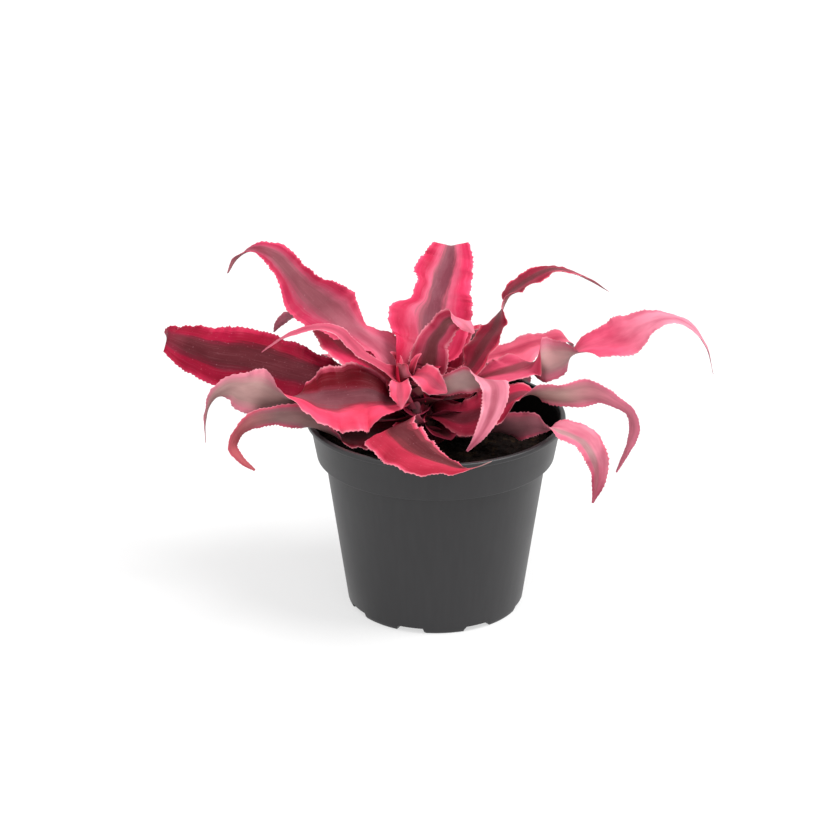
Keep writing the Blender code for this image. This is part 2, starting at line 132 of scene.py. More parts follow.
def blend(
    tree: bpy.types.NodeTree,
    share: bpy.types.NodeSocket,
    under: bpy.types.NodeSocket | tuple[float, ...],
    over: bpy.types.NodeSocket | tuple[float, ...],
) -> bpy.types.NodeSocket:
    """Mixes two colours: the under one where the share is 0, the over one where it is 1."""
    settings = {"data_type": "RGBA", "values": {0: share, 6: under, 7: over}}
    return add_node(tree, "ShaderNodeMix", settings).outputs[2]


def noise(
    tree: bpy.types.NodeTree,
    place: bpy.types.NodeSocket,
    per_unit: tuple[float, float, float] | float,
    detail: float,
) -> bpy.types.NodeSocket:
    """Smooth noise, about 0.5 on the mean.

    Args:
        tree: The material's node tree.
        place: The coordinates that it is laid over.
        per_unit: How many blotches go to a unit of the coordinates, on each axis or on all of them.
        detail: How much finer noise is added.

    Returns:
        The noise.
    """
    scale = 1.0
    if isinstance(per_unit, tuple):
        place = add_node(tree, "ShaderNodeMapping", Vector=place, Scale=per_unit).outputs[0]
    else:
        scale = per_unit
    return add_node(tree, "ShaderNodeTexNoise", Vector=place, Scale=scale, Detail=detail).outputs[0]


def dress(
    tree: bpy.types.NodeTree,
    shader: bpy.types.Node,
    colour: bpy.types.NodeSocket,
    relief: bpy.types.NodeSocket,
    strength: float,
    depth_mm: float,
    **constants: float,
) -> None:
    """Gives a shader its colour, its fine relief and its other values.

    Args:
        tree: The material's node tree.
        shader: The material's Principled shader.
        colour: The base colour.
        relief: Height of the fine relief, 0 to 1.
        strength: How much of the relief counts.
        depth_mm: How deep it is.
        **constants: More inputs of the shader by name, with spaces written as underscores.
    """
    bump = add_node(tree, "ShaderNodeBump", Height=relief, Strength=strength, Distance=depth_mm * MM)
    tree.links.new(colour, shader.inputs["Base Color"])
    tree.links.new(bump.outputs[0], shader.inputs["Normal"])
    for name, value in constants.items():
        shader.inputs[name.replace("_", " ")].default_value = value


def new_material(name: str) -> tuple[bpy.types.Material, bpy.types.NodeTree, bpy.types.Node]:
    """Makes a node material.

    Args:
        name: The material's name.

    Returns:
        The material, its node tree and its Principled shader.
    """
    made = bpy.data.materials.new(name)
    made.use_nodes = True
    tree = made.node_tree
    return made, tree, tree.nodes["Principled BSDF"]


def new_piece(
    name: str,
    points: np.ndarray,
    faces: list[list[int]],
    uv: np.ndarray | None = None,
    smooth_angle: float = 50.0,
) -> bpy.types.Object:
    """Turns arrays of points and faces into an object at the origin.

    Args:
        name: The piece's name.
        points: N x 3 positions in millimetres.
        faces: The corner numbers of each face, outwards.
        uv: N x 2 places on the piece's own map, or None.
        smooth_angle: Edges sharper than this many degrees stay crisp.

    Returns:
        The linked object.
    """
    mesh = bpy.data.meshes.new(name)
    mesh.from_pydata((points * MM).tolist(), [], faces)
    if uv is not None:
        layer = mesh.uv_layers.new(name="own_map")
        corners = np.empty(len(mesh.loops), dtype=np.int32)
        mesh.loops.foreach_get("vertex_index", corners)
        layer.data.foreach_set("uv", uv[corners].astype(np.float32).ravel())
    mesh.shade_smooth()
    mesh.set_sharp_from_angle(angle=math.radians(smooth_angle))
    made = bpy.data.objects.new(name, mesh)
    bpy.context.scene.collection.objects.link(made)
    return made


def settle(piece: bpy.types.Object, node: str) -> bpy.types.Object:
    """Sets a piece on the root body in place of its frame node.

    Args:
        piece: The finished piece.
        node: The frame node that it stands for.

    Returns:
        The same piece.
    """
    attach(piece, "root")
    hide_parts(node)
    LOG.info("%s: %d faces", piece.name, len(piece.data.polygons))
    return piece


def hermite(knots: np.ndarray, values: np.ndarray, at: np.ndarray) -> np.ndarray:
    """A smooth curve through values at knots: cubic pieces whose slopes come from the neighbours.

    Args:
        knots: Rising places of the K values.
        values: K x C values.
        at: The places asked for.

    Returns:
        One row of C values for each place.
    """
    slopes = np.gradient(values, knots, axis=0)
    low = np.clip(np.searchsorted(knots, at, side="right") - 1, 0, len(knots) - 2)
    span = (knots[low + 1] - knots[low])[:, None]
    s = (at[:, None] - knots[low][:, None]) / span
    start = (1 + 2 * s) * (1 - s) ** 2 * values[low] + s * (1 - s) ** 2 * span * slopes[low]
    end = s**2 * (3 - 2 * s) * values[low + 1] + s**2 * (s - 1) * span * slopes[low + 1]
    return start + end


def ring_faces(rows: int, around: int) -> np.ndarray:
    """Quads of a tube of rows x around points, closed round each row.

    Args:
        rows: Number of rings.
        around: Points in each ring.

    Returns:
        (rows - 1) * around quads, with outward faces when a ring runs clockwise seen along the rows.
    """
    row, column = np.meshgrid(np.arange(rows - 1), np.arange(around), indexing="ij")
    after = (column + 1) % around
    quads = [row * around + column, row * around + after, (row + 1) * around + after]
    return np.stack([*quads, (row + 1) * around + column], axis=-1).reshape(-1, 4)


def smooth_noise(at: np.ndarray, seed: int, step: float) -> np.ndarray:
    """Smooth random values between -1 and 1 along a line.

    Args:
        at: Places along the line.
        seed: Picks the pattern.
        step: Distance between the random values that the curve passes through.

    Returns:
        One value for each place.
    """
    rng = np.random.default_rng(seed)
    places = at / step
    values = rng.uniform(-1.0, 1.0, int(places.max()) + 3)
    low = np.floor(places).astype(int)
    t = places - low
    t = t * t * (3.0 - 2.0 * t)
    return values[low] * (1.0 - t) + values[low + 1] * t


def field_noise(x: np.ndarray, y: np.ndarray, seed: int, size: float) -> np.ndarray:
    """Smooth random heights between -1 and 1 over a plane.

    Args:
        x: First coordinates.
        y: Second coordinates, of the same shape.
        seed: Picks the pattern.
        size: Distance between the random values.

    Returns:
        Heights of the same shape, blended between the four values round each place.
    """
    rng = np.random.default_rng(seed)
    cells = 64
    table = rng.uniform(-1.0, 1.0, (cells, cells))
    column, row = np.floor(x / size).astype(int), np.floor(y / size).astype(int)
    s, t = x / size - column, y / size - row
    s, t = s * s * (3 - 2 * s), t * t * (3 - 2 * t)
    around = ((0, 0), (1, 0), (0, 1), (1, 1))
    corner = [table[(column + a) % cells, (row + b) % cells] for a, b in around]
    low = corner[0] * (1 - s) + corner[1] * s
    high = corner[2] * (1 - s) + corner[3] * s
    return low * (1 - t) + high * t


def between(ends: tuple[float, float], share: float) -> float:
    """The value at a share of the way from the first end to the second."""
    return ends[0] + (ends[1] - ends[0]) * share


# --- finishes ----------------------------------------------------------------------------------


@dataclass(frozen=True)
class BladeColours:
    """Colours of one leaf, as sRGB hex: the upper side, then the underside.

    The upper side has a dull stripe along its middle and bright flanks, which may be paler beside the
    stripe. Going out along the leaf, the left flank may be another colour, and the stripe may lie to one
    side or stop part of the way. The underside is covered in grey scurf, which wears off towards the tip
    on some leaves. Towards the stem both sides turn to the base colour, which on most leaves is darker, as
    painted shade of the crowded heart; it reaches a share of the length out and may be kept off the left
    flank.
    """

    stripe: str
    stripe_edge: str
    flank: str
    margin: str
    base: str
    tip: str
    left_flank: str = ""
    bloom: str = ""
    tip_from: float = 0.85
    base_run: float = 0.24
    base_lean: float = 0.0
    stripe_width: float = 0.30
    stripe_shift: float = 0.0
    stripe_stops: float = 2.0
    scurf: str = "#AC7E7E"
    scurf_flank: str = "#BE7882"
    scurf_margin: str = "#E25C78"
    scurf_tip: str = "#BE7882"
    scurf_tip_from: float = 0.85
    rim: str = "#F29EAC"
    speck: str = "#E2A2AA"


class LeafTone(Enum):
    """The colourings found on this plant; their darker base colours are painted shade of the crowded heart.
    """

    MAROON_STRIPED = BladeColours(
        "#5C2028", "#70182C", "#9C0C32", "#C02248", "#500A20", "#A82C48", stripe_width=0.42,
        base_run=0.5, rim="#C84462",
    )
    MAUVE_STRIPED = BladeColours(
        "#84444E", "#A05060", "#BA2C50", "#DC4468", "#F2809A", "#A83C58", rim="#E66482",
        bloom="#B84A64", stripe_width=0.44, base_run=0.5,
    )
    ROSY_BACK = BladeColours("#B24A5C", "#C04660", "#DC3C62", "#F27490", "#BC2C4C", "#D85A74")
    DUSKY = BladeColours(
        "#BE5466", "#CC4E68", "#E43E68", "#F07088", "#B02440", "#A8485E", stripe_width=0.26,
        scurf="#C88894", scurf_flank="#D0788A", scurf_tip="#CC7488", scurf_margin="#F08CA0",
    )
    ROSE_ARCHED = BladeColours(
        "#C85A72", "#CC5C74", "#D8627C", "#EE94A4", "#B0344E", "#C05C70", base_run=0.55
    )
    CRIMSON_INNER = BladeColours("#7E2034", "#94203A", "#B82444", "#DC4462", "#6A0A1C", "#D86078")
    # Painted shade: its far, right-hand flank is deep red and its base near black for the shade of the
    # leaves above, while the near, left-hand flank stays bright
    CRIMSON_FRONT = BladeColours(
        "#8A4A54", "#9C3446", "#84061E", "#F4607E", "#280006", "#D88A96", left_flank="#FC5274",
        base_run=0.66, base_lean=0.85, scurf="#BC9490", scurf_flank="#D28E96", scurf_margin="#EE8CA0",
    )
    TAUPE_LOW = BladeColours(
        "#5A141E", "#6A1224", "#84142C", "#C84058", "#26060A", "#C85060", base_run=0.55,
        scurf="#9E7876", scurf_flank="#AA6E78", scurf_tip="#C4565F", scurf_tip_from=0.72,
    )
    ROSE_BROWN = BladeColours(
        "#64282E", "#7C3038", "#BE3049", "#EE5474", "#8A1830", "#E6CFC4", left_flank="#80363E",
        tip_from=0.95, stripe_width=0.44, stripe_shift=-0.18, scurf_tip="#E0C8BC", scurf_tip_from=0.92,
    )
    ROSE_FOLDED = BladeColours(
        "#BE6A7A", "#CA7486", "#DE8698", "#F69EAE", "#A82440", "#D07086",
        scurf="#D6B2AE", scurf_flank="#DAA0A6",
    )
    SALMON_STRIPED = BladeColours(
        "#885054", "#9C5460", "#CC4462", "#F08498", "#6E1C2A", "#E06A80", bloom="#D25C76",
        stripe_width=0.32, base_run=0.42, scurf_tip="#F07A94", scurf_tip_from=0.7,
    )
    MAROON_RISING = BladeColours(
        "#6E2832", "#7E2838", "#96223C", "#E03E5C", "#5A0616", "#C05068", base_run=0.4
    )
    # Its pale scurf is partly painted light, standing in for light that shines through the turned-over
    # blade
    CORAL_LONG = BladeColours(
        "#8A404A", "#BC4A60", "#E05878", "#F0708A", "#B01A3A", "#E8A0B2", tip_from=0.66,
        stripe_width=0.26, stripe_stops=0.36, scurf="#DEB0AE", scurf_flank="#EE94A6",
        scurf_margin="#EE7490",
    )
    TAUPE_HOOKED = BladeColours(
        "#8A3A48", "#A83A50", "#D8385A", "#F06A80", "#3A050C", "#F098AC", base_run=0.42, tip_from=0.62,
        scurf="#B08A84", scurf_flank="#CC848C", scurf_margin="#E46E88", scurf_tip="#F2829C",
        scurf_tip_from=0.60,
    )
    DUSKY_ROSE = BladeColours(
        "#B4888A", "#CA8892", "#E2748E", "#F0788F", "#5E1620", "#B04A60", left_flank="#E28A9C",
        stripe_width=0.26, stripe_shift=0.16, scurf="#945F66", scurf_flank="#A85F6C",
        scurf_tip="#C87484", scurf_tip_from=0.5,
    )
    HOT_PINK = BladeColours(
        "#864C58", "#A85A68", "#D23058", "#EE4870", "#C82446", "#E8607C", rim="#EE6C8A",
        bloom="#DA627E", stripe_width=0.26,
    )
    BRIGHT_CRIMSON = BladeColours(
        "#B01E40", "#BC2448", "#DC2C54", "#F2587A", "#4A0814", "#D84A68", base_run=0.7
    )
    CORAL_BEHIND = BladeColours("#DC5470", "#EA6682", "#FC7490", "#FF9CB0", "#D83A5C", "#E0607C")
    YOUNG = BladeColours(
        "#C85068", "#DA546E", "#EE5876", "#F88A9E", "#6E1A2C", "#F07A90", base_run=0.45,
        scurf="#CC7886", scurf_flank="#DC7488",
    )
    # Deep red, darkened as painted shade of the heart
    SHEATH = BladeColours(
        "#46181C", "#541A24", "#74162C", "#A03049", "#220A0C", "#80243A",
        base_run=0.6, scurf="#56302F", scurf_flank="#683038", scurf_margin="#902E44", rim="#A84460",
    )


@dataclass(frozen=True)
class LivingLeaf:
    """Leathery bromeliad leaf, grown: waxy upper side with a dull stripe, grey scurf below.

    The surface is a soft satin with fine lengthwise grooves, and the stripe's edges feather out along
    them. Real grooves are about 0.3 mm apart, too fine to show, so they are drawn 0.5 mm apart. The
    margin's thin skin and teeth are paler than the blade.
    """

    colours: BladeColours
    length: float
    width: float
    upper: bool
    roughness: float = 0.50
    groove_amount: float = 0.06
    feather_amount: float = 0.15
    patch_amount: float = 0.20
    groove_mm: float = 0.5
    groove_run_mm: float = 26.0
    feather_mm: float = 1.6
    patch_mm: float = 9.0
    speck_mm: float = 0.8
    rim_share: float = 0.035

    def make(self, name: str) -> bpy.types.Material:
        """Builds the material.

        Args:
            name: Name of the leaf.

        Returns:
            The material of one side of the leaf.
        """
        side = "upper" if self.upper else "under"
        made, tree, shader = new_material(f"living_leaf_{side}_{name}")
        uv = add_node(tree, "ShaderNodeUVMap", {"uv_map": "own_map"}).outputs[0]
        parts = add_node(tree, "ShaderNodeSeparateXYZ", Vector=uv)
        across, along = parts.outputs[:2]
        groove = self.pattern(tree, uv, self.groove_mm, self.groove_run_mm)
        feather = self.pattern(tree, uv, self.feather_mm, self.groove_run_mm)
        patch = self.pattern(tree, uv, self.patch_mm, 3.0 * self.patch_mm)
        specks = self.pattern(tree, uv, self.speck_mm, 1.6 * self.speck_mm)
        # Place across the blade, made uneven by three patterns, each about its mean of 0.5
        uneven = across
        amounts = (self.groove_amount, self.feather_amount, self.patch_amount)
        for pattern, amount in zip((groove, feather, patch), amounts):
            shift = remap(tree, pattern, 0.0, 1.0, -0.5 * amount, 0.5 * amount)
            uneven = compute(tree, "ADD", shift, uneven)
        ramp = add_node(tree, "ShaderNodeValToRGB", {"stops": self.stops()}, Fac=uneven)
        colour = self.tinted(tree, ramp.outputs[0], (across, along), (groove, patch, specks))
        away = compute(tree, "ABSOLUTE", compute(tree, "SUBTRACT", across, 0.5))
        rim = remap(tree, away, 0.5 - self.rim_share, 0.5, 0.0, 0.75)
        # The pale skin of the margin begins beyond the clasping base
        rim = compute(tree, "MULTIPLY", rim, remap(tree, along, 0.10, 0.26))
        edged = blend(tree, rim, colour, linear(self.colours.rim))
        rough = compute(tree, "MULTIPLY_ADD", groove, 0.16, self.roughness - 0.08)
        tree.links.new(rough, shader.inputs["Roughness"])
        shine = 0.14 if self.upper else 0.10
        dress(tree, shader, edged, groove, strength=0.35, depth_mm=0.12, IOR=1.42, Specular_IOR_Level=shine)
        return made

    def pattern(
        self, tree: bpy.types.NodeTree, uv: bpy.types.NodeSocket, across_mm: float, along_mm: float
    ) -> bpy.types.NodeSocket:
        """A noise stretched along the blade.

        Args:
            tree: The material's node tree.
            uv: The blade's own map, 0 to 1 across and along.
            across_mm: Size of the pattern across the blade.
            along_mm: Size of the pattern along it.

        Returns:
            The noise, about 0.5 on the mean.
        """
        return noise(tree, uv, (self.width / across_mm, self.length / along_mm, 1.0), 3.0)

    def stops(self) -> tuple[tuple[float, str], ...]:
        """Colours from the left margin of the blade, at 0, to the right one, at 1."""
        c = self.colours
        if self.upper:
            mid, half = 0.5 + c.stripe_shift, 0.5 * c.stripe_width
            left = c.left_flank or c.flank
            return (
                (0.02, c.margin),
                (0.09, left),
                (0.15, left),
                (mid - half - 0.06, c.bloom or left),
                (mid - half, c.stripe_edge),
                (mid - 0.6 * half, c.stripe),
                (mid + 0.6 * half, c.stripe),
                (mid + half, c.stripe_edge),
                (mid + half + 0.06, c.bloom or c.flank),
                (0.85, c.flank),
                (0.91, c.flank),
                (0.98, c.margin),
            )
        return (
            (0.04, c.scurf_margin),
            (0.15, c.scurf_flank),
            (0.30, c.scurf),
            (0.70, c.scurf),
            (0.85, c.scurf_flank),
            (0.96, c.scurf_margin),
        )

    def tinted(
        self,
        tree: bpy.types.NodeTree,
        colour: bpy.types.NodeSocket,
        place: tuple[bpy.types.NodeSocket, ...],
        patterns: tuple[bpy.types.NodeSocket, ...],
    ) -> bpy.types.NodeSocket:
        """Paints the heart's shade into the base of most leaves, turns the tip, and lays light lengthwise
        lines and specks over the blade.

        Args:
            tree: The material's node tree.
            colour: The colour across the blade.
            place: Place across the blade, 0 to 1, and along it, 0 at the base and 1 at the tip.
            patterns: The fine lengthwise pattern, the broad one and the specks.

        Returns:
            The finished colour.
        """
        c = self.colours
        across, along = place
        groove, patch, specks = patterns
        if self.upper and c.stripe_stops < 1.0:
            bare = remap(tree, along, c.stripe_stops - 0.08, c.stripe_stops + 0.08, 0.0, 0.85)
            colour = blend(tree, bare, colour, linear(c.flank))
        # Painted shade of the crowded heart: the base colour, darker on most leaves, runs out from the stem
        # and is kept off the left flank by the lean
        near = remap(tree, along, 0.0, c.base_run, 0.85, 0.0)
        lean = remap(tree, across, 0.25, 0.6, 1.0 - c.base_lean, 1.0)
        colour = blend(tree, compute(tree, "MULTIPLY", near, lean), colour, linear(c.base))
        begins, tip = (c.tip_from, c.tip) if self.upper else (c.scurf_tip_from, c.scurf_tip)
        turned = remap(tree, along, begins - 0.08, begins + 0.10, 0.0, 0.8)
        colour = blend(tree, turned, colour, linear(tip))
        pale = "#E89AA4" if self.upper else "#C4ABA6"
        colour = blend(tree, remap(tree, groove, 0.52, 0.72, 0.0, 0.06), colour, linear(pale))
        # Specks of scurf, left where the leaves opened
        colour = blend(tree, remap(tree, specks, 0.66, 0.74, 0.0, 0.32), colour, linear(c.speck))
        # Broad patches where the red is deeper, on the upper side mostly in its green and blue parts
        flush = (0.80, 0.56, 0.64, 1.0) if self.upper else (0.82, 0.78, 0.80, 1.0)
        tones = blend(tree, remap(tree, patch, 0.36, 0.60), flush, (1.06, 1.06, 1.06, 1.0))
        shade = {"operation": "MULTIPLY", "values": {0: colour, 1: tones}}
        return add_node(tree, "ShaderNodeVectorMath", shade).outputs[0]


@dataclass(frozen=True)
class MouldedPolypropylene:
    """Recycled polypropylene, injection moulded: satin dark grey with faint upright flow marks.

    The flow marks run from the foot to the rim, about 3 mm apart. The mould's fine spark texture is
    0.3 mm, drawn at 0.6 mm so that it shows.
    """

    colour: str = "#252426"
    light_mark: str = "#29282A"
    painted_inner_shade: str = "#0E0B0A"
    roughness: float = 0.42
    mark_mm: float = 3.0
    grain_mm: float = 0.6
    smear_mm: float = 26.316

    def make(self) -> bpy.types.Material:
        """Builds the material and returns it."""
        made, tree, shader = new_material("moulded_polypropylene_satin")
        coordinates = add_node(tree, "ShaderNodeTexCoord")
        place = coordinates.outputs["Object"]
        per = 1.0 / (self.mark_mm * MM)
        marks = noise(tree, place, (per, per, per * 0.05), 3.0)
        grain = noise(tree, place, 1.0 / (self.grain_mm * MM), 2.0)
        smear = noise(tree, place, 1.0 / (self.smear_mm * MM), 4.0)
        ramp = {"stops": ((0.40, self.colour), (0.72, self.light_mark))}
        tint = add_node(tree, "ShaderNodeValToRGB", ramp, Fac=marks)
        # The wall's inner face looks at the pot's axis: there it is painted near black and dull, as painted
        # shade inside the pot
        flat = {"operation": "MULTIPLY", "values": {0: place, 1: (1.0, 1.0, 0.0)}}
        flat = add_node(tree, "ShaderNodeVectorMath", flat).outputs[0]
        facing = {"operation": "DOT_PRODUCT", "values": {0: flat, 1: coordinates.outputs["Normal"]}}
        facing = add_node(tree, "ShaderNodeVectorMath", facing).outputs["Value"]
        outer_face = remap(tree, facing, -24.0 * MM, -4.0 * MM)
        wall = blend(tree, outer_face, linear(self.painted_inner_shade), tint.outputs[0])
        tree.links.new(remap(tree, outer_face, 0.0, 1.0, 0.08, 0.5), shader.inputs["Specular IOR Level"])
        rough = compute(tree, "MULTIPLY_ADD", smear, 0.16, self.roughness - 0.08)
        tree.links.new(rough, shader.inputs["Roughness"])
        relief = compute(tree, "MULTIPLY_ADD", marks, 1.6, grain)
        dress(tree, shader, wall, relief, strength=0.22, depth_mm=0.08, IOR=1.49)
        return made


@dataclass(frozen=True)
class PeatAndBark:
    """Moist potting mix of peat and bark, loose: nearly black, matt, with brown fibres.

    Crumbs are 1 to 4 mm; bark flecks are about 3 mm.
    """

    dark: str = "#0F0A08"
    brown: str = "#1C120E"
    fleck: str = "#34261A"
    crumb_mm: float = 1.6
    fleck_mm: float = 3.0

    def make(self) -> bpy.types.Material:
        """Builds the material and returns it."""
        made, tree, shader = new_material("peat_and_bark_moist")
        place = add_node(tree, "ShaderNodeTexCoord").outputs["Object"]
        crumb = noise(tree, place, 1.0 / (self.crumb_mm * MM), 5.0)
        fleck = add_node(tree, "ShaderNodeTexVoronoi", Vector=place, Scale=1.0 / (self.fleck_mm * MM))
        tint = {"stops": ((0.35, self.dark), (0.68, self.brown))}
        tint = add_node(tree, "ShaderNodeValToRGB", tint, Fac=crumb)
        some = add_node(tree, "ShaderNodeSeparateXYZ", Vector=fleck.outputs["Color"])
        few = remap(tree, some.outputs[0], 0.80, 0.95, 0.0, 0.7)
        mixed = blend(tree, few, tint.outputs[0], linear(self.fleck))
        shine = {"Roughness": 0.92, "IOR": 1.4, "Specular IOR Level": 0.15}
        dress(tree, shader, mixed, crumb, strength=0.9, depth_mm=0.8, **shine)
        return made


@dataclass(frozen=True)
class FibrousStem:
    """Short plant stem, grown: dark reddish brown and fibrous.

    Fibres run lengthwise, about 0.7 mm apart.
    """

    dark: str = "#26100F"
    light: str = "#4E2420"
    fibre_mm: float = 0.7

    def make(self) -> bpy.types.Material:
        """Builds the material and returns it."""
        made, tree, shader = new_material("fibrous_stem")
        place = add_node(tree, "ShaderNodeTexCoord").outputs["Object"]
        per = 1.0 / (self.fibre_mm * MM)
        fibre = noise(tree, place, (per, per, per * 0.12), 4.0)
        tint = {"stops": ((0.32, self.dark), (0.70, self.light))}
        tint = add_node(tree, "ShaderNodeValToRGB", tint, Fac=fibre)
        dress(tree, shader, tint.outputs[0], fibre, strength=0.6, depth_mm=0.3, Roughness=0.8)
        return made


# --- pot ---------------------------------------------------------------------------------------


@dataclass
class NurseryPot:
    """Round nursery pot: rolled lip, stepped collar, tapering body and a notched foot ring."""

    height: float = 93.0
    rim_r: float = 60.0
    rim_depth: float = 2.2
    collar_top_r: float = 58.0
    collar_foot_r: float = 55.0
    collar_foot_z: float = 73.5
    body_top_r: float = 51.4
    foot_r: float = 41.4
    wall: float = 1.4
    floor: float = 1.8
    foot_height: float = 3.0
    foot_width: float = 3.6
    feet: int = 8
    notch_deg: float = 18.0
    first_notch_deg: float = -106.4
    drain_r: float = 4.5
    drain_ring_r: float = 25.0
    around: int = 400
    crisp_deg: float = 40.0
    finish: MouldedPolypropylene = field(default_factory=MouldedPolypropylene)

    def body_r(self, z: float) -> float:
        """Outside radius of the body at a height: a straight taper from collar to foot."""
        share = (z - self.foot_height) / (self.collar_foot_z - self.foot_height)
        return self.foot_r + (self.body_top_r - self.foot_r) * share

    def corners(self) -> list[tuple[float, float, float]]:
        """(radius, height, rounding) of the section's corners, from the floor's middle and back to it."""
        floor_z = self.foot_height + self.floor
        neck = self.collar_top_r - self.wall
        step = self.collar_foot_z
        return [
            (0.0, floor_z, 0.0),
            (self.body_r(floor_z) - self.wall - 0.2, floor_z, 2.2),
            (self.body_r(step - self.wall) - self.wall, step - self.wall, 1.2),
            (self.collar_foot_r - self.wall, step + self.wall, 1.2),
            (neck, self.height - self.rim_depth, 0.8),
            (neck + 1.0, self.height, 0.7),
            (self.rim_r, self.height, 0.9),
            (self.rim_r, self.height - self.rim_depth, 0.7),
            (self.collar_top_r, self.height - self.rim_depth - 0.6, 0.6),
            (self.collar_foot_r, step, 0.7),
            (self.body_top_r, step, 0.9),
            (self.foot_r - 0.2, 1.6, 1.2),
            (self.foot_r - 0.9, 0.0, 0.8),
            (self.foot_r - 1.2 - self.foot_width, 0.0, 0.5),
            (self.foot_r - 1.6 - self.foot_width, self.foot_height, 0.4),
            (0.0, self.foot_height, 0.0),
        ]

    def profile(self) -> np.ndarray:
        """The section with each corner rounded.

        A rounded corner is a quadratic curve that starts and ends its rounding away from the corner,
        along the two sides that meet there, and long straight sides get points of their own.

        Returns:
            N x 2 radii and heights.
        """
        corners = np.array(self.corners())
        points = [corners[0, :2]]
        for before, here, after in zip(corners, corners[1:], corners[2:]):
            back = before[:2] - here[:2]
            ahead = after[:2] - here[:2]
            reach = min(here[2], 0.45 * np.linalg.norm(back), 0.45 * np.linalg.norm(ahead))
            start = here[:2] + back / np.linalg.norm(back) * reach
            end = here[:2] + ahead / np.linalg.norm(ahead) * reach
            gap = np.linalg.norm(start - points[-1])
            share = np.linspace(0.0, 1.0, max(2, int(gap / 4.0)))[1:-1, None]
            points += list(points[-1] * (1.0 - share) + start * share)
            t = np.linspace(0.0, 1.0, 6)[:, None]
            points += list((1 - t) ** 2 * start + 2 * t * (1 - t) * here[:2] + t**2 * end)
        points.append(corners[-1, :2])
        return np.array(points)

    def surface(self) -> tuple[np.ndarray, list[list[int]]]:
        """The turned wall, with the foot ring lifted in its notches.

        Each profile point runs round the axis: x = r cos a, y = r sin a. Below the floor a point's
        height rises to the notch's height where the angle is inside a notch, with soft sides.

        Returns:
            Points in millimetres and faces.
        """
        section = self.profile()[1:-1]
        rows = len(section)
        angle = -np.linspace(0.0, FULL_TURN, self.around, endpoint=False)
        r, z = section[:, :1], section[:, 1:]
        pitch = FULL_TURN / self.feet
        off = (angle - math.radians(self.first_notch_deg) + 0.5 * pitch) % pitch - 0.5 * pitch
        within = math.radians(self.notch_deg / 2.0) - np.abs(off)
        inside = np.clip(within / math.radians(1.2) + 0.5, 0.0, 1.0)
        outer = (r > self.foot_r - 2.6 - self.foot_width) & (np.arange(rows)[:, None] > rows // 2)
        lift = (self.foot_height - 0.4) * inside[None, :] * outer
        heights = np.maximum(z + 0.0 * angle, np.where(z < self.foot_height, lift, -1.0))
        points = np.stack([r * np.cos(angle), r * np.sin(angle), heights], axis=-1).reshape(-1, 3)
        ends = np.array([[0.0, 0.0, self.foot_height + self.floor], [0.0, 0.0, self.foot_height]])
        first, last = len(points), len(points) + 1
        column = np.arange(self.around)
        after = (column + 1) % self.around
        lowest = (rows - 1) * self.around
        top = np.stack([after, column, np.full_like(column, first)], axis=-1)
        base = np.stack([lowest + column, lowest + after, np.full_like(column, last)], axis=-1)
        faces = ring_faces(rows, self.around).tolist() + top.tolist() + base.tolist()
        return np.concatenate([points, ends]), faces

    def build(self) -> bpy.types.Object:
        """Builds the pot, cuts its drain holes and dresses it.

        Returns:
            The finished piece.
        """
        points, faces = self.surface()
        pot = new_piece("nursery_pot", points, faces, smooth_angle=self.crisp_deg)
        self.cut_drains(pot)
        pot.data.materials.clear()
        pot.data.materials.append(self.finish.make())
        return settle(pot, "pot")

    def cut_drains(self, pot: bpy.types.Object) -> None:
        """Cuts the drain holes through the floor.

        Args:
            pot: The pot, whose mesh is replaced by the cut one.
        """
        turns = np.radians(self.first_notch_deg) + np.arange(self.feet // 2) * 4.0 * math.pi / self.feet
        sides, past = 40, 4.0
        angle = -np.linspace(0.0, FULL_TURN, sides, endpoint=False)
        points, faces = [], []
        for index, turn in enumerate(turns):
            x = self.drain_ring_r * math.cos(turn) + self.drain_r * np.cos(angle)
            y = self.drain_ring_r * math.sin(turn) + self.drain_r * np.sin(angle)
            for z in (self.foot_height + self.floor + past, self.foot_height - past):
                points.append(np.stack([x, y, np.full(sides, z)], axis=-1))
            start = 2 * sides * index
            faces += (ring_faces(2, sides) + start).tolist()
            faces.append((np.arange(sides)[::-1] + start).tolist())
            faces.append((np.arange(sides) + start + sides).tolist())
        cutter = new_piece("drain_cutter", np.concatenate(points), faces)
        cut = pot.modifiers.new("drains", "BOOLEAN")
        cut.operation = "DIFFERENCE"
        cut.solver = "EXACT"
        cut.object = cutter
        graph = bpy.context.evaluated_depsgraph_get()
        done = bpy.data.meshes.new_from_object(pot.evaluated_get(graph))
        pot.modifiers.clear()
        pot.data = done
        done.shade_smooth()
        done.set_sharp_from_angle(angle=math.radians(self.crisp_deg))
        bpy.data.objects.remove(cutter, do_unlink=True)


# --- soil and stem -----------------------------------------------------------------------------


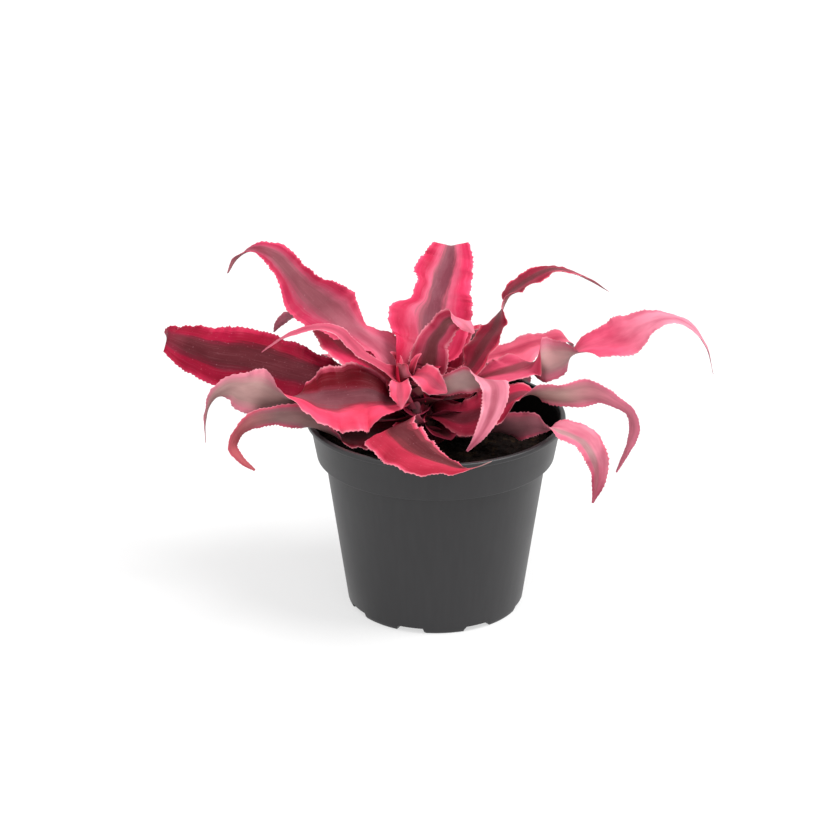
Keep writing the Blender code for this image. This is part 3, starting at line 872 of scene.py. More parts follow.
@dataclass
class ShortStem:
    """The stem: a leaning taper with ring scars, rooted in the potting mix."""

    foot_z: float = 70.0
    top_z: float = 112.0
    ref_z: float = 74.0
    ref_r: float = 6.0
    top_r: float = 2.8
    lean: float = 14.0
    scar_mm: float = 3.2
    around: int = 48
    rows: int = 90
    finish: FibrousStem = field(default_factory=FibrousStem)

    def centre_x(self, z: np.ndarray | float) -> np.ndarray | float:
        """X of the middle line at a height: it leans to the left as it rises."""
        return -self.lean * (z - self.ref_z) / (self.top_z - self.ref_z)

    def radius(self, z: np.ndarray | float) -> np.ndarray | float:
        """Radius at a height."""
        return self.ref_r + (self.top_r - self.ref_r) * (z - self.ref_z) / (self.top_z - self.ref_z)

    def build(self) -> bpy.types.Object:
        """Builds the stem and dresses it.

        Rings of points climb the leaning line; the radius dips 0.25 mm at every scar and
        wavers a little round the stem, and both ends close on the middle line.

        Returns:
            The finished piece.
        """
        t = np.linspace(0.0, 1.0, self.rows)
        z = self.foot_z + (self.top_z - self.foot_z) * t
        angle = np.linspace(0.0, FULL_TURN, self.around, endpoint=False)
        scar = -0.25 * np.exp(-(((z % self.scar_mm) - 0.5 * self.scar_mm) ** 2) / 0.12)
        waver = 0.12 * field_noise(np.cos(angle)[None, :] * 6.0 + 20.0, z[:, None] + 0.0 * angle, 5, 2.5)
        close = np.minimum(1.0, np.minimum(t, 1.0 - t) * self.rows / 3.0)
        r = (self.radius(z) + scar - 0.12)[:, None] + waver
        r = r * np.sqrt(np.clip(1.0 - (1.0 - close) ** 2, 0.0, 1.0))[:, None] + 0.01
        x = self.centre_x(z)[:, None] + r * np.cos(angle)
        y = r * np.sin(angle)
        points = np.stack([x, y, z[:, None] + 0.0 * angle], axis=-1).reshape(-1, 3)
        faces = ring_faces(self.rows, self.around).tolist()
        faces.append(list(range(self.around))[::-1])
        faces.append(list(range((self.rows - 1) * self.around, self.rows * self.around)))
        stem = new_piece("short_stem", points, faces)
        stem.data.materials.append(self.finish.make())
        return settle(stem, "stem")


@dataclass
class PottingMix:
    """The potting mix: fills the pot, with a crumbly top and loose bark on it."""

    pot: NurseryPot
    stem: ShortStem
    top_z: float = 79.0
    crown: float = 1.2
    clear: float = 0.35
    around: int = 240
    rows: int = 90
    chunks: int = 420
    chunk_low: float = 0.9
    chunk_high: float = 2.6
    noise_shift: float = 200.0
    finish: PeatAndBark = field(default_factory=PeatAndBark)

    def lumps(self, x: np.ndarray, y: np.ndarray) -> np.ndarray:
        """Unevenness of the top at places on it: lumps of about 7 mm and smaller ones of 2.6 mm."""
        return field_noise(x, y, 11, 7.0) * 0.9 + field_noise(x, y, 12, 2.6) * 0.6

    def body(self) -> tuple[np.ndarray, np.ndarray]:
        """The closed body of soil.

        Rings run from the bottom of the stem's socket, up its wall, over the top and down inside the
        pot to the floor. A ring's middle slides from the stem's line to the pot's axis across the top,
        and the top's height is roughened by three sizes of noise.

        Returns:
            Points in millimetres and quads, without the two end caps.
        """
        pot, stem, gap = self.pot, self.stem, self.clear
        hole_low, low = stem.foot_z - gap, pot.foot_height + pot.floor + gap
        top_r = pot.collar_foot_r - pot.wall - gap
        t = np.linspace(0.0, 1.0, self.rows)
        inner = stem.radius(self.top_z) + gap
        across = inner + (top_r - inner) * t
        height = self.top_z + self.crown * (1.0 - t**2) - 1.4 * np.clip((t - 0.95) / 0.05, 0.0, 1.0) ** 2
        centre = stem.centre_x(self.top_z) * (1.0 - t) ** 2
        sides_z = np.array([pot.collar_foot_z + 1.9, pot.collar_foot_z - 1.6, 50.0, 26.0, low + 3.0])
        sides_r = np.array([top_r] + [pot.body_r(z) - pot.wall - gap - 0.1 for z in sides_z[1:]])
        socket_r, floor_r = stem.radius(hole_low) + gap, pot.body_r(low) - pot.wall - 3.6
        r = np.concatenate([[socket_r], across, sides_r, [floor_r]])
        z = np.concatenate([[hole_low], height, sides_z, [low]])
        x0 = np.concatenate([[stem.centre_x(hole_low)], centre, np.zeros(len(sides_z) + 1)])
        angle = -np.linspace(0.0, FULL_TURN, self.around, endpoint=False)
        x = x0[:, None] + r[:, None] * np.cos(angle)
        y = r[:, None] * np.sin(angle)
        shift = self.noise_shift
        rough = self.lumps(x + shift, y + shift) + field_noise(x + shift, y + shift, 13, 1.1) * 0.35
        on_top = np.zeros(len(r))
        on_top[1 : 1 + self.rows] = np.clip(np.minimum(t / 0.05, (1.0 - t) / 0.05), 0.0, 1.0)
        heights = z[:, None] + (rough - 0.6) * on_top[:, None]
        return np.stack([x, y, heights], axis=-1).reshape(-1, 3), ring_faces(len(r), self.around)

    def crumbs(self, start: int) -> tuple[np.ndarray, np.ndarray]:
        """Loose crumbs and bark on top: squashed, uneven double pyramids half sunk in the soil.

        Args:
            start: Number of points that come before the crumbs.

        Returns:
            Points in millimetres and triangles.
        """
        rng = np.random.default_rng(7)
        reach = np.sqrt(rng.uniform(0.03, 0.92, self.chunks)) * (self.pot.collar_foot_r - 4.0)
        turn = rng.uniform(0.0, FULL_TURN, self.chunks)
        size = rng.uniform(self.chunk_low, self.chunk_high, (self.chunks, 1, 1))
        sixths = np.linspace(0.0, FULL_TURN, 6, endpoint=False)[None, :]
        spin = sixths + rng.uniform(0, 6.28, (self.chunks, 1))
        ring = np.stack([np.cos(spin), 0.6 * np.sin(spin), np.zeros_like(spin)], axis=-1)
        ring = ring * rng.uniform(0.7, 1.1, (self.chunks, 6, 1))
        poles = np.zeros((self.chunks, 2, 3))
        poles[:, 0, 2] = rng.uniform(0.25, 0.5, self.chunks)
        poles[:, 1, 2] = -0.35
        shape = np.concatenate([ring, poles], axis=1) * size
        middle = np.stack([reach * np.cos(turn), reach * np.sin(turn), np.zeros(self.chunks)], axis=-1)
        rough = self.lumps(middle[:, 0] + self.noise_shift, middle[:, 1] + self.noise_shift)
        share = reach / self.pot.collar_foot_r
        middle[:, 2] = self.top_z + self.crown * (1.0 - share**2) + rough - 0.35
        points = (shape + middle[:, None, :]).reshape(-1, 3)
        side = np.arange(6)
        after = (side + 1) % 6
        upper = np.stack([side, after, np.full(6, 6)], axis=-1)
        lower = np.stack([after, side, np.full(6, 7)], axis=-1)
        one = np.concatenate([upper, lower])
        faces = (one[None] + 8 * np.arange(self.chunks)[:, None, None]).reshape(-1, 3) + start
        return points, faces

    def build(self) -> bpy.types.Object:
        """Builds the soil with its crumbs and dresses it.

        Returns:
            The finished piece.
        """
        points, faces = self.body()
        extra, crumb_faces = self.crumbs(len(points))
        total = len(points) // self.around
        first = list(range(self.around))[::-1]
        last = list(range((total - 1) * self.around, total * self.around))
        everything = faces.tolist() + [first, last] + crumb_faces.tolist()
        soil = new_piece("potting_mix", np.concatenate([points, extra]), everything, smooth_angle=30.0)
        soil.data.materials.append(self.finish.make())
        return settle(soil, "soil")


# --- leaves ------------------------------------------------------------------------------------


@dataclass
class LeafBlade:
    """One leaf: a base that clasps the stem, then a long tapering blade with a toothed margin."""

    name: str
    azimuth: float
    seat: tuple[float, float]
    stations: tuple[tuple[float, ...], ...]
    seat_width: float = 7.0
    seat_roll: float = 0.0
    seat_clear: float = 0.0
    fold: float = 12.0
    tone: LeafTone = LeafTone.CRIMSON_INNER
    thick: float = 1.0
    clasp_width: float = 17.0
    clasp_run: float = 12.0
    clasp_back: float = 5.0
    clasp_bend: float = 0.14
    bend_run: float = 14.0
    base_unfold: float = 6.0
    wave: float = 1.0
    wave_mm: float = 16.0
    crinkle: float = 0.32
    crinkle_mm: float = 3.6
    tooth: float = 0.75
    tooth_mm: float = 1.9
    lobes: tuple[tuple[int, float, float, float], ...] = ()
    slant: tuple[float, float, float] = (0.0, 1.0, 0.0)
    row_mm: float = 0.33
    across: int = 17

    @property
    def seed(self) -> int:
        """A number of its own for each leaf, from its name."""
        return sum((index + 1) * ord(letter) for index, letter in enumerate(self.name)) % 9973

    def clasp_station(self, stem: ShortStem) -> tuple[float, ...]:
        """Where the base begins: on the stem's side, a little below the seat.

        Args:
            stem: The stem that carries the leaf.

        Returns:
            Reach, swing, height, roll and width.
        """
        outwards, right = directions(self.azimuth)
        from_stem, _ = directions(self.seat[0])
        z = self.seat[1] - self.clasp_back
        start = np.array([stem.centre_x(z), 0.0, z]) + (stem.radius(z) + 0.2) * from_stem
        return (start @ outwards, -(start @ right), z, self.seat_roll, self.seat_width)

    def seat_station(self, stem: ShortStem) -> tuple[float, ...]:
        """The first station, just clear of the stem's side where the leaf is seated.

        Args:
            stem: The stem that carries the leaf.

        Returns:
            Reach, swing, height, roll and width.
        """
        outwards, right = directions(self.azimuth)
        from_stem, _ = directions(self.seat[0])
        z = self.seat[1]
        reach, swing, height = self.stations[0][:3]
        target = reach * outwards - swing * right + np.array([0.0, 0.0, height])
        axis = np.array([stem.centre_x(z), 0.0, z])
        # A steep base lies closer to the stem, and the stem leans to -X: both ask for more room
        clear = 0.0
        for _ in range(3):
            start = axis + (stem.radius(z) + clear) * from_stem
            climb = abs(target[2] - z) / np.linalg.norm(target - start)
            clear = 0.45 + self.seat_clear + 0.55 * climb + 0.25 * max(0.0, -from_stem[0])
        start = axis + (stem.radius(z) + clear) * from_stem
        return (start @ outwards, -(start @ right), z, self.seat_roll, self.seat_width)

    def line(self, stem: ShortStem) -> tuple[np.ndarray, np.ndarray]:
        """Evenly spaced rows along the leaf's run.

        The base is widened to clasp_width, which fades away as exp(-(s / clasp_run)^2) at a distance s
        beyond the seat; the wider of the two widths wins, with a soft change between them.

        Args:
            stem: The stem that carries the leaf.

        Returns:
            Rows of reach, swing, height, roll and width, and each row's distance beyond the seat.
        """
        rows = [self.clasp_station(stem), self.seat_station(stem), *self.stations]
        stations = np.array(rows, dtype=float)
        chords = np.linalg.norm(np.diff(stations[:, :3], axis=0), axis=1)
        knots = np.concatenate([[0.0], np.cumsum(chords)])
        fine = np.linspace(0.0, knots[-1], 1200)
        run = hermite(knots, stations, fine)
        arc = np.concatenate([[0.0], np.cumsum(np.linalg.norm(np.diff(run[:, :3], axis=0), axis=1))])
        count = max(24, round(arc[-1] / self.row_mm))
        places = np.linspace(0.0, arc[-1], count)
        at = np.interp(places, arc, fine)
        line = hermite(knots, stations, at)
        straight = np.interp(at, knots, stations[:, 4])
        width = 0.3 * straight + 0.7 * np.maximum(line[:, 4], 0.8)
        places = places - np.interp(knots[1], fine, arc)
        clasp = self.clasp_width * np.exp(-((np.maximum(places, 0.0) / self.clasp_run) ** 2))
        line[:, 4] = (width**4 + clasp**4) ** 0.25
        return line, places

    def margin(self, places: np.ndarray, half: np.ndarray, side: int) -> tuple[np.ndarray, np.ndarray]:
        """How far one margin stands out, and how far its teeth stand beyond it.

        The half width wanders by a few per cent and swells at each lobe. A tooth rises along its
        pitch and drops at once, so that it points to the tip, and the pitch is uneven.

        Args:
            places: Distance of each row from the base.
            half: Plain half width of each row.
            side: -1 for the left-hand margin, 1 for the right-hand one.

        Returns:
            The margin's half width and the tooth height, for each row.
        """
        seed = self.seed + (17 if side > 0 else 0)
        wander = 1.0 + 0.05 * smooth_noise(places, seed, 7.0) + 0.03 * smooth_noise(places, seed + 1, 3.0)
        out = half * wander
        for which, place, reach, size in self.lobes:
            if which == side:
                out = out + size * np.exp(-(((places - place) / reach) ** 2))
        pace = (1.0 + 0.35 * smooth_noise(places, seed + 2, 5.0)) / self.tooth_mm
        phase = np.concatenate([[0.0], np.cumsum(0.5 * (pace[1:] + pace[:-1]) * np.diff(places))])
        share = phase % 1.0
        rise = np.clip(share / 0.82, 0.0, 1.0) ** 2.2 * np.clip((1.0 - share) / 0.18, 0.0, 1.0)
        uneven = 0.75 + 0.35 * smooth_noise(places, seed + 3, 4.0)
        small = np.clip(half / 5.0, 0.25, 1.0) * np.clip((places - 4.0) / 10.0, 0.0, 1.0)
        return np.maximum(out, 0.25), self.tooth * rise * uneven * small

    def waves(self, places: np.ndarray, v: np.ndarray) -> np.ndarray:
        """Ripples of the margins, as a height over the blade.

        Each margin is a sine of wave_mm with a wandering phase, plus a smaller one 2.7 times finer. Both
        fade towards the middle of the blade as powers of the share across.

        Args:
            places: Distance of each row beyond the seat.
            v: Share across the blade, -1 to 1.

        Returns:
            One height in millimetres for each row and share.
        """
        turn = FULL_TURN * places / self.wave_mm
        heights = []
        for side, lag in ((0, 0.0), (1, 2.4)):
            broad = np.sin(turn + lag + 2.0 * smooth_noise(places, self.seed + 5 + side, 19.0))
            fine = np.sin(2.7 * turn + lag + 3.0 * smooth_noise(places, self.seed + 9 + side, 9.0))
            away = np.abs(v)[None, :]
            heights.append(broad[:, None] * away**2.4 + 0.4 * fine[:, None] * away**5)
        return self.wave * np.where(v[None, :] < 0, heights[0], heights[1])

    def shell(self, stem: ShortStem) -> tuple[np.ndarray, np.ndarray, np.ndarray, int]:
        """The closed surface of the blade.

        Each row crosses the blade on the upper side from the left margin to the right and comes back
        below, so that a row is a ring. A point lies on the row's middle, plus its share of the half
        width along the row's side direction, plus the fold, the margin's waves, shallow creases over the
        whole blade and half the thickness along the upper face's direction. At the base the row is bent
        to an arc of curvature clasp_bend round the stem. The thickness falls to nothing at the margin.
        Where the leaf folds over at a slant, the right margin is pulled on along the leaf and the left
        one back, by slant's size at its place.

        Args:
            stem: The stem that carries the leaf.

        Returns:
            Points in millimetres, faces as quads, places on the blade's own map, and the number of
            points in each ring.
        """
        line, places = self.line(stem)
        rows = len(line)
        u = np.clip(places / places[-1], 0.0, 1.0)
        middle, side_way, up_way = blade_frame(line, self.azimuth)
        spread = np.sin(0.5 * math.pi * np.linspace(-1.0, 1.0, self.across))
        v = np.concatenate([spread, spread[-2:0:-1]])
        upper = np.concatenate([np.ones(self.across), -np.ones(self.across - 2)])
        half = 0.5 * line[:, 4]
        left, left_tooth = self.margin(places, half, -1)
        right, right_tooth = self.margin(places, half, 1)
        out = np.where(v[None, :] < 0, left[:, None], right[:, None])
        teeth = np.where(v[None, :] < 0, left_tooth[:, None], right_tooth[:, None])
        edge = np.clip((np.abs(v) - 0.9) / 0.1, 0.0, 1.0)[None, :]
        near_base = np.clip(1.0 - u / 0.25, 0.0, 1.0) ** 1.5
        fold = np.radians(self.fold - self.base_unfold * near_base)[:, None]
        bend = (self.clasp_bend * np.exp(-((np.maximum(places, 0.0) / self.bend_run) ** 2)))[:, None]
        flat = out * v[None, :] + np.sign(v)[None, :] * teeth * edge
        off = flat * np.sinc(bend * flat / math.pi) * np.cos(fold)
        soft = np.sqrt(v**2 + 0.15**2) - 0.15
        chord = flat * np.sinc(0.5 * bend * flat / math.pi)
        lift = out * soft[None, :] * np.sin(fold) + 0.5 * bend * chord**2
        grown = np.clip(half / 11.0, 0.0, 1.0) * np.clip(u / 0.12, 0.0, 1.0)
        lift = lift + self.waves(places, v) * grown[:, None]
        creased = field_noise(0.6 * places[:, None] + 0.0 * flat, flat, self.seed + 21, self.crinkle_mm)
        lift = lift + self.crinkle * creased * grown[:, None]
        taper = np.clip(half / 4.0, 0.25, 1.0)[:, None]
        body = 0.5 * self.thick * upper[None, :] * np.clip(1.0 - v**2, 0.0, 1.0)[None, :] ** 0.6 * taper
        points = middle[:, None, :] + off[..., None] * side_way[:, None, :]
        points = points + (lift + body)[..., None] * up_way[:, None, :]
        place, reach, size = self.slant
        pull = size * np.exp(-(((places - place) / reach) ** 2))[:, None] * v[None, :]
        along = np.gradient(middle, axis=0)
        along = along / np.linalg.norm(along, axis=1, keepdims=True)
        points = points + pull[..., None] * along[:, None, :]
        around = len(v)
        faces = ring_faces(rows, around)
        top = np.arange(self.across - 1)
        below = (around - top) % around
        next_below = (around - top - 1) % around
        cap = np.stack([top, below, next_below, top + 1], axis=-1)
        end = cap[:, ::-1] + (rows - 1) * around
        faces = np.concatenate([faces, cap, end])
        place_u = np.broadcast_to(0.5 + 0.5 * v, (rows, around))
        place_v = np.broadcast_to(u[:, None], (rows, around))
        uv = np.stack([place_u, place_v], axis=-1).reshape(-1, 2)
        return points.reshape(-1, 3), faces, uv, around

    def build(self, stem: ShortStem) -> bpy.types.Object:
        """Builds the leaf and dresses its two sides.

        Args:
            stem: The stem that carries the leaf.

        Returns:
            The finished piece.
        """
        points, faces, uv, around = self.shell(stem)
        made = new_piece("blade_" + self.name.removeprefix("leaf_"), points, tidy_quads(faces), uv, 60.0)
        length = float(np.linalg.norm(np.diff(points[::around], axis=0), axis=1).sum())
        width = max(station[4] for station in self.stations)
        for upper in (True, False):
            finish = LivingLeaf(self.tone.value, length, width, upper)
            made.data.materials.append(finish.make(self.name.removeprefix("leaf_")))
        under = (faces[:, 0] % around >= self.across - 1).astype(np.int32)
        made.data.polygons.foreach_set("material_index", under)
        return settle(made, self.name)


@dataclass
class LeafSheaths:
    """Short leaf bases that crowd round the stem between the long leaves, deep red darkened as painted
    shade of the heart.

    They climb the stem by the plant's own turn of 137.5 degrees from one to the next, and the upper ones
    are shorter and stand steeper.
    """

    count: int = 17
    heights: tuple[float, float] = (83.5, 106.0)
    first_azimuth: float = 20.0
    turn: float = 137.5
    lengths: tuple[float, float] = (25.0, 13.0)
    widths: tuple[float, float] = (16.0, 10.0)
    climbs_deg: tuple[float, float] = (14.0, 58.0)
    droop: float = 4.0

    def blade(self, index: int, stem: ShortStem) -> LeafBlade:
        """One sheath, as a small blade.

        At a share t of its length it lies the length times t times the cosine of its climb from the
        stem, and rises by the length times t times the sine, less droop times t squared.

        Args:
            index: Its place up the stem.
            stem: The stem that carries it.

        Returns:
            The blade.
        """
        up = index / (self.count - 1)
        z = between(self.heights, up)
        azimuth = (self.first_azimuth + self.turn * index) % 360.0
        length, width = between(self.lengths, up), between(self.widths, up)
        climb = math.radians(between(self.climbs_deg, up))
        middle = stem.centre_x(z)
        swing = -middle * math.sin(math.radians(azimuth))
        stations = []
        for t, share in ((0.3, 0.95), (0.55, 1.0), (0.8, 0.72), (0.95, 0.3), (1.0, 0.06)):
            out = stem.radius(z) + length * t * math.cos(climb)
            reach = middle * math.cos(math.radians(azimuth)) + out
            rise = length * t * math.sin(climb) - self.droop * t * t
            stations.append((reach, swing, z + rise, 0.0, width * share))
        return LeafBlade(
            f"leaf_sheath_{index}", azimuth, (azimuth, z), tuple(stations), fold=16.0, wave=0.7,
            clasp_width=13.0, clasp_run=6.0, clasp_back=2.0, tooth=0.4, row_mm=0.5, tone=LeafTone.SHEATH,
        )

    def build(self, stem: ShortStem) -> bpy.types.Object:
        """Builds all the sheaths as one piece and dresses their two sides.

        Args:
            stem: The stem that carries them.

        Returns:
            The finished piece.
        """
        points, faces, places, under = [], [], [], []
        total = 0
        for index in range(self.count):
            blade = self.blade(index, stem)
            shell, quads, uv, around = blade.shell(stem)
            points.append(shell)
            places.append(uv)
            under.append((quads[:, 0] % around) >= blade.across - 1)
            faces.append(quads + total)
            total += len(shell)
        quads = tidy_quads(np.concatenate(faces))
        made = new_piece("leaf_sheaths", np.concatenate(points), quads, np.concatenate(places), 60.0)
        for upper in (True, False):
            finish = LivingLeaf(LeafTone.SHEATH.value, self.lengths[0], self.widths[0], upper)
            made.data.materials.append(finish.make("sheaths"))
        made.data.polygons.foreach_set("material_index", np.concatenate(under).astype(np.int32))
        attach(made, "root")
        LOG.info("%s: %d faces", made.name, len(made.data.polygons))
        return made


def tidy_quads(faces: np.ndarray) -> list[list[int]]:
    """Drops the repeated corner of end-cap quads that shrink to a triangle at a margin.

    Args:
        faces: M x 4 corner numbers.

    Returns:
        The same faces, each with three or four corners.
    """
    return [list(dict.fromkeys(row)) for row in faces.tolist()]


def directions(azimuth: float) -> tuple[np.ndarray, np.ndarray]:
    """Unit vectors outwards along an azimuth and to its right-hand side."""
    turn = math.radians(azimuth)
    outwards = np.array([math.cos(turn), math.sin(turn), 0.0])
    return outwards, np.array([math.sin(turn), -math.cos(turn), 0.0])


def blade_frame(line: np.ndarray, azimuth: float) -> tuple[np.ndarray, np.ndarray, np.ndarray]:
    """Middle line, right-hand direction and upper face's direction of each row.

    The side direction starts level and square to the run, and is then turned about it by the roll.

    Args:
        line: Rows of reach, swing, height, roll and width.
        azimuth: The leaf's azimuth in degrees.

    Returns:
        Three N x 3 arrays; the first is in millimetres.
    """
    outwards, right = directions(azimuth)
    middle = line[:, 0:1] * outwards - line[:, 1:2] * right + line[:, 2:3] * np.array([0.0, 0.0, 1.0])
    along = np.gradient(middle, axis=0)
    along /= np.linalg.norm(along, axis=1, keepdims=True)
    level = right - (along @ right)[:, None] * along
    level /= np.linalg.norm(level, axis=1, keepdims=True)
    roll = np.radians(line[:, 3:4])
    side = np.cos(roll) * level + np.sin(roll) * np.cross(level, along)
    return middle, side, np.cross(side, along)


HEART_CLASP = {"clasp_width": 7.0, "clasp_run": 5.0, "clasp_back": 3.0}

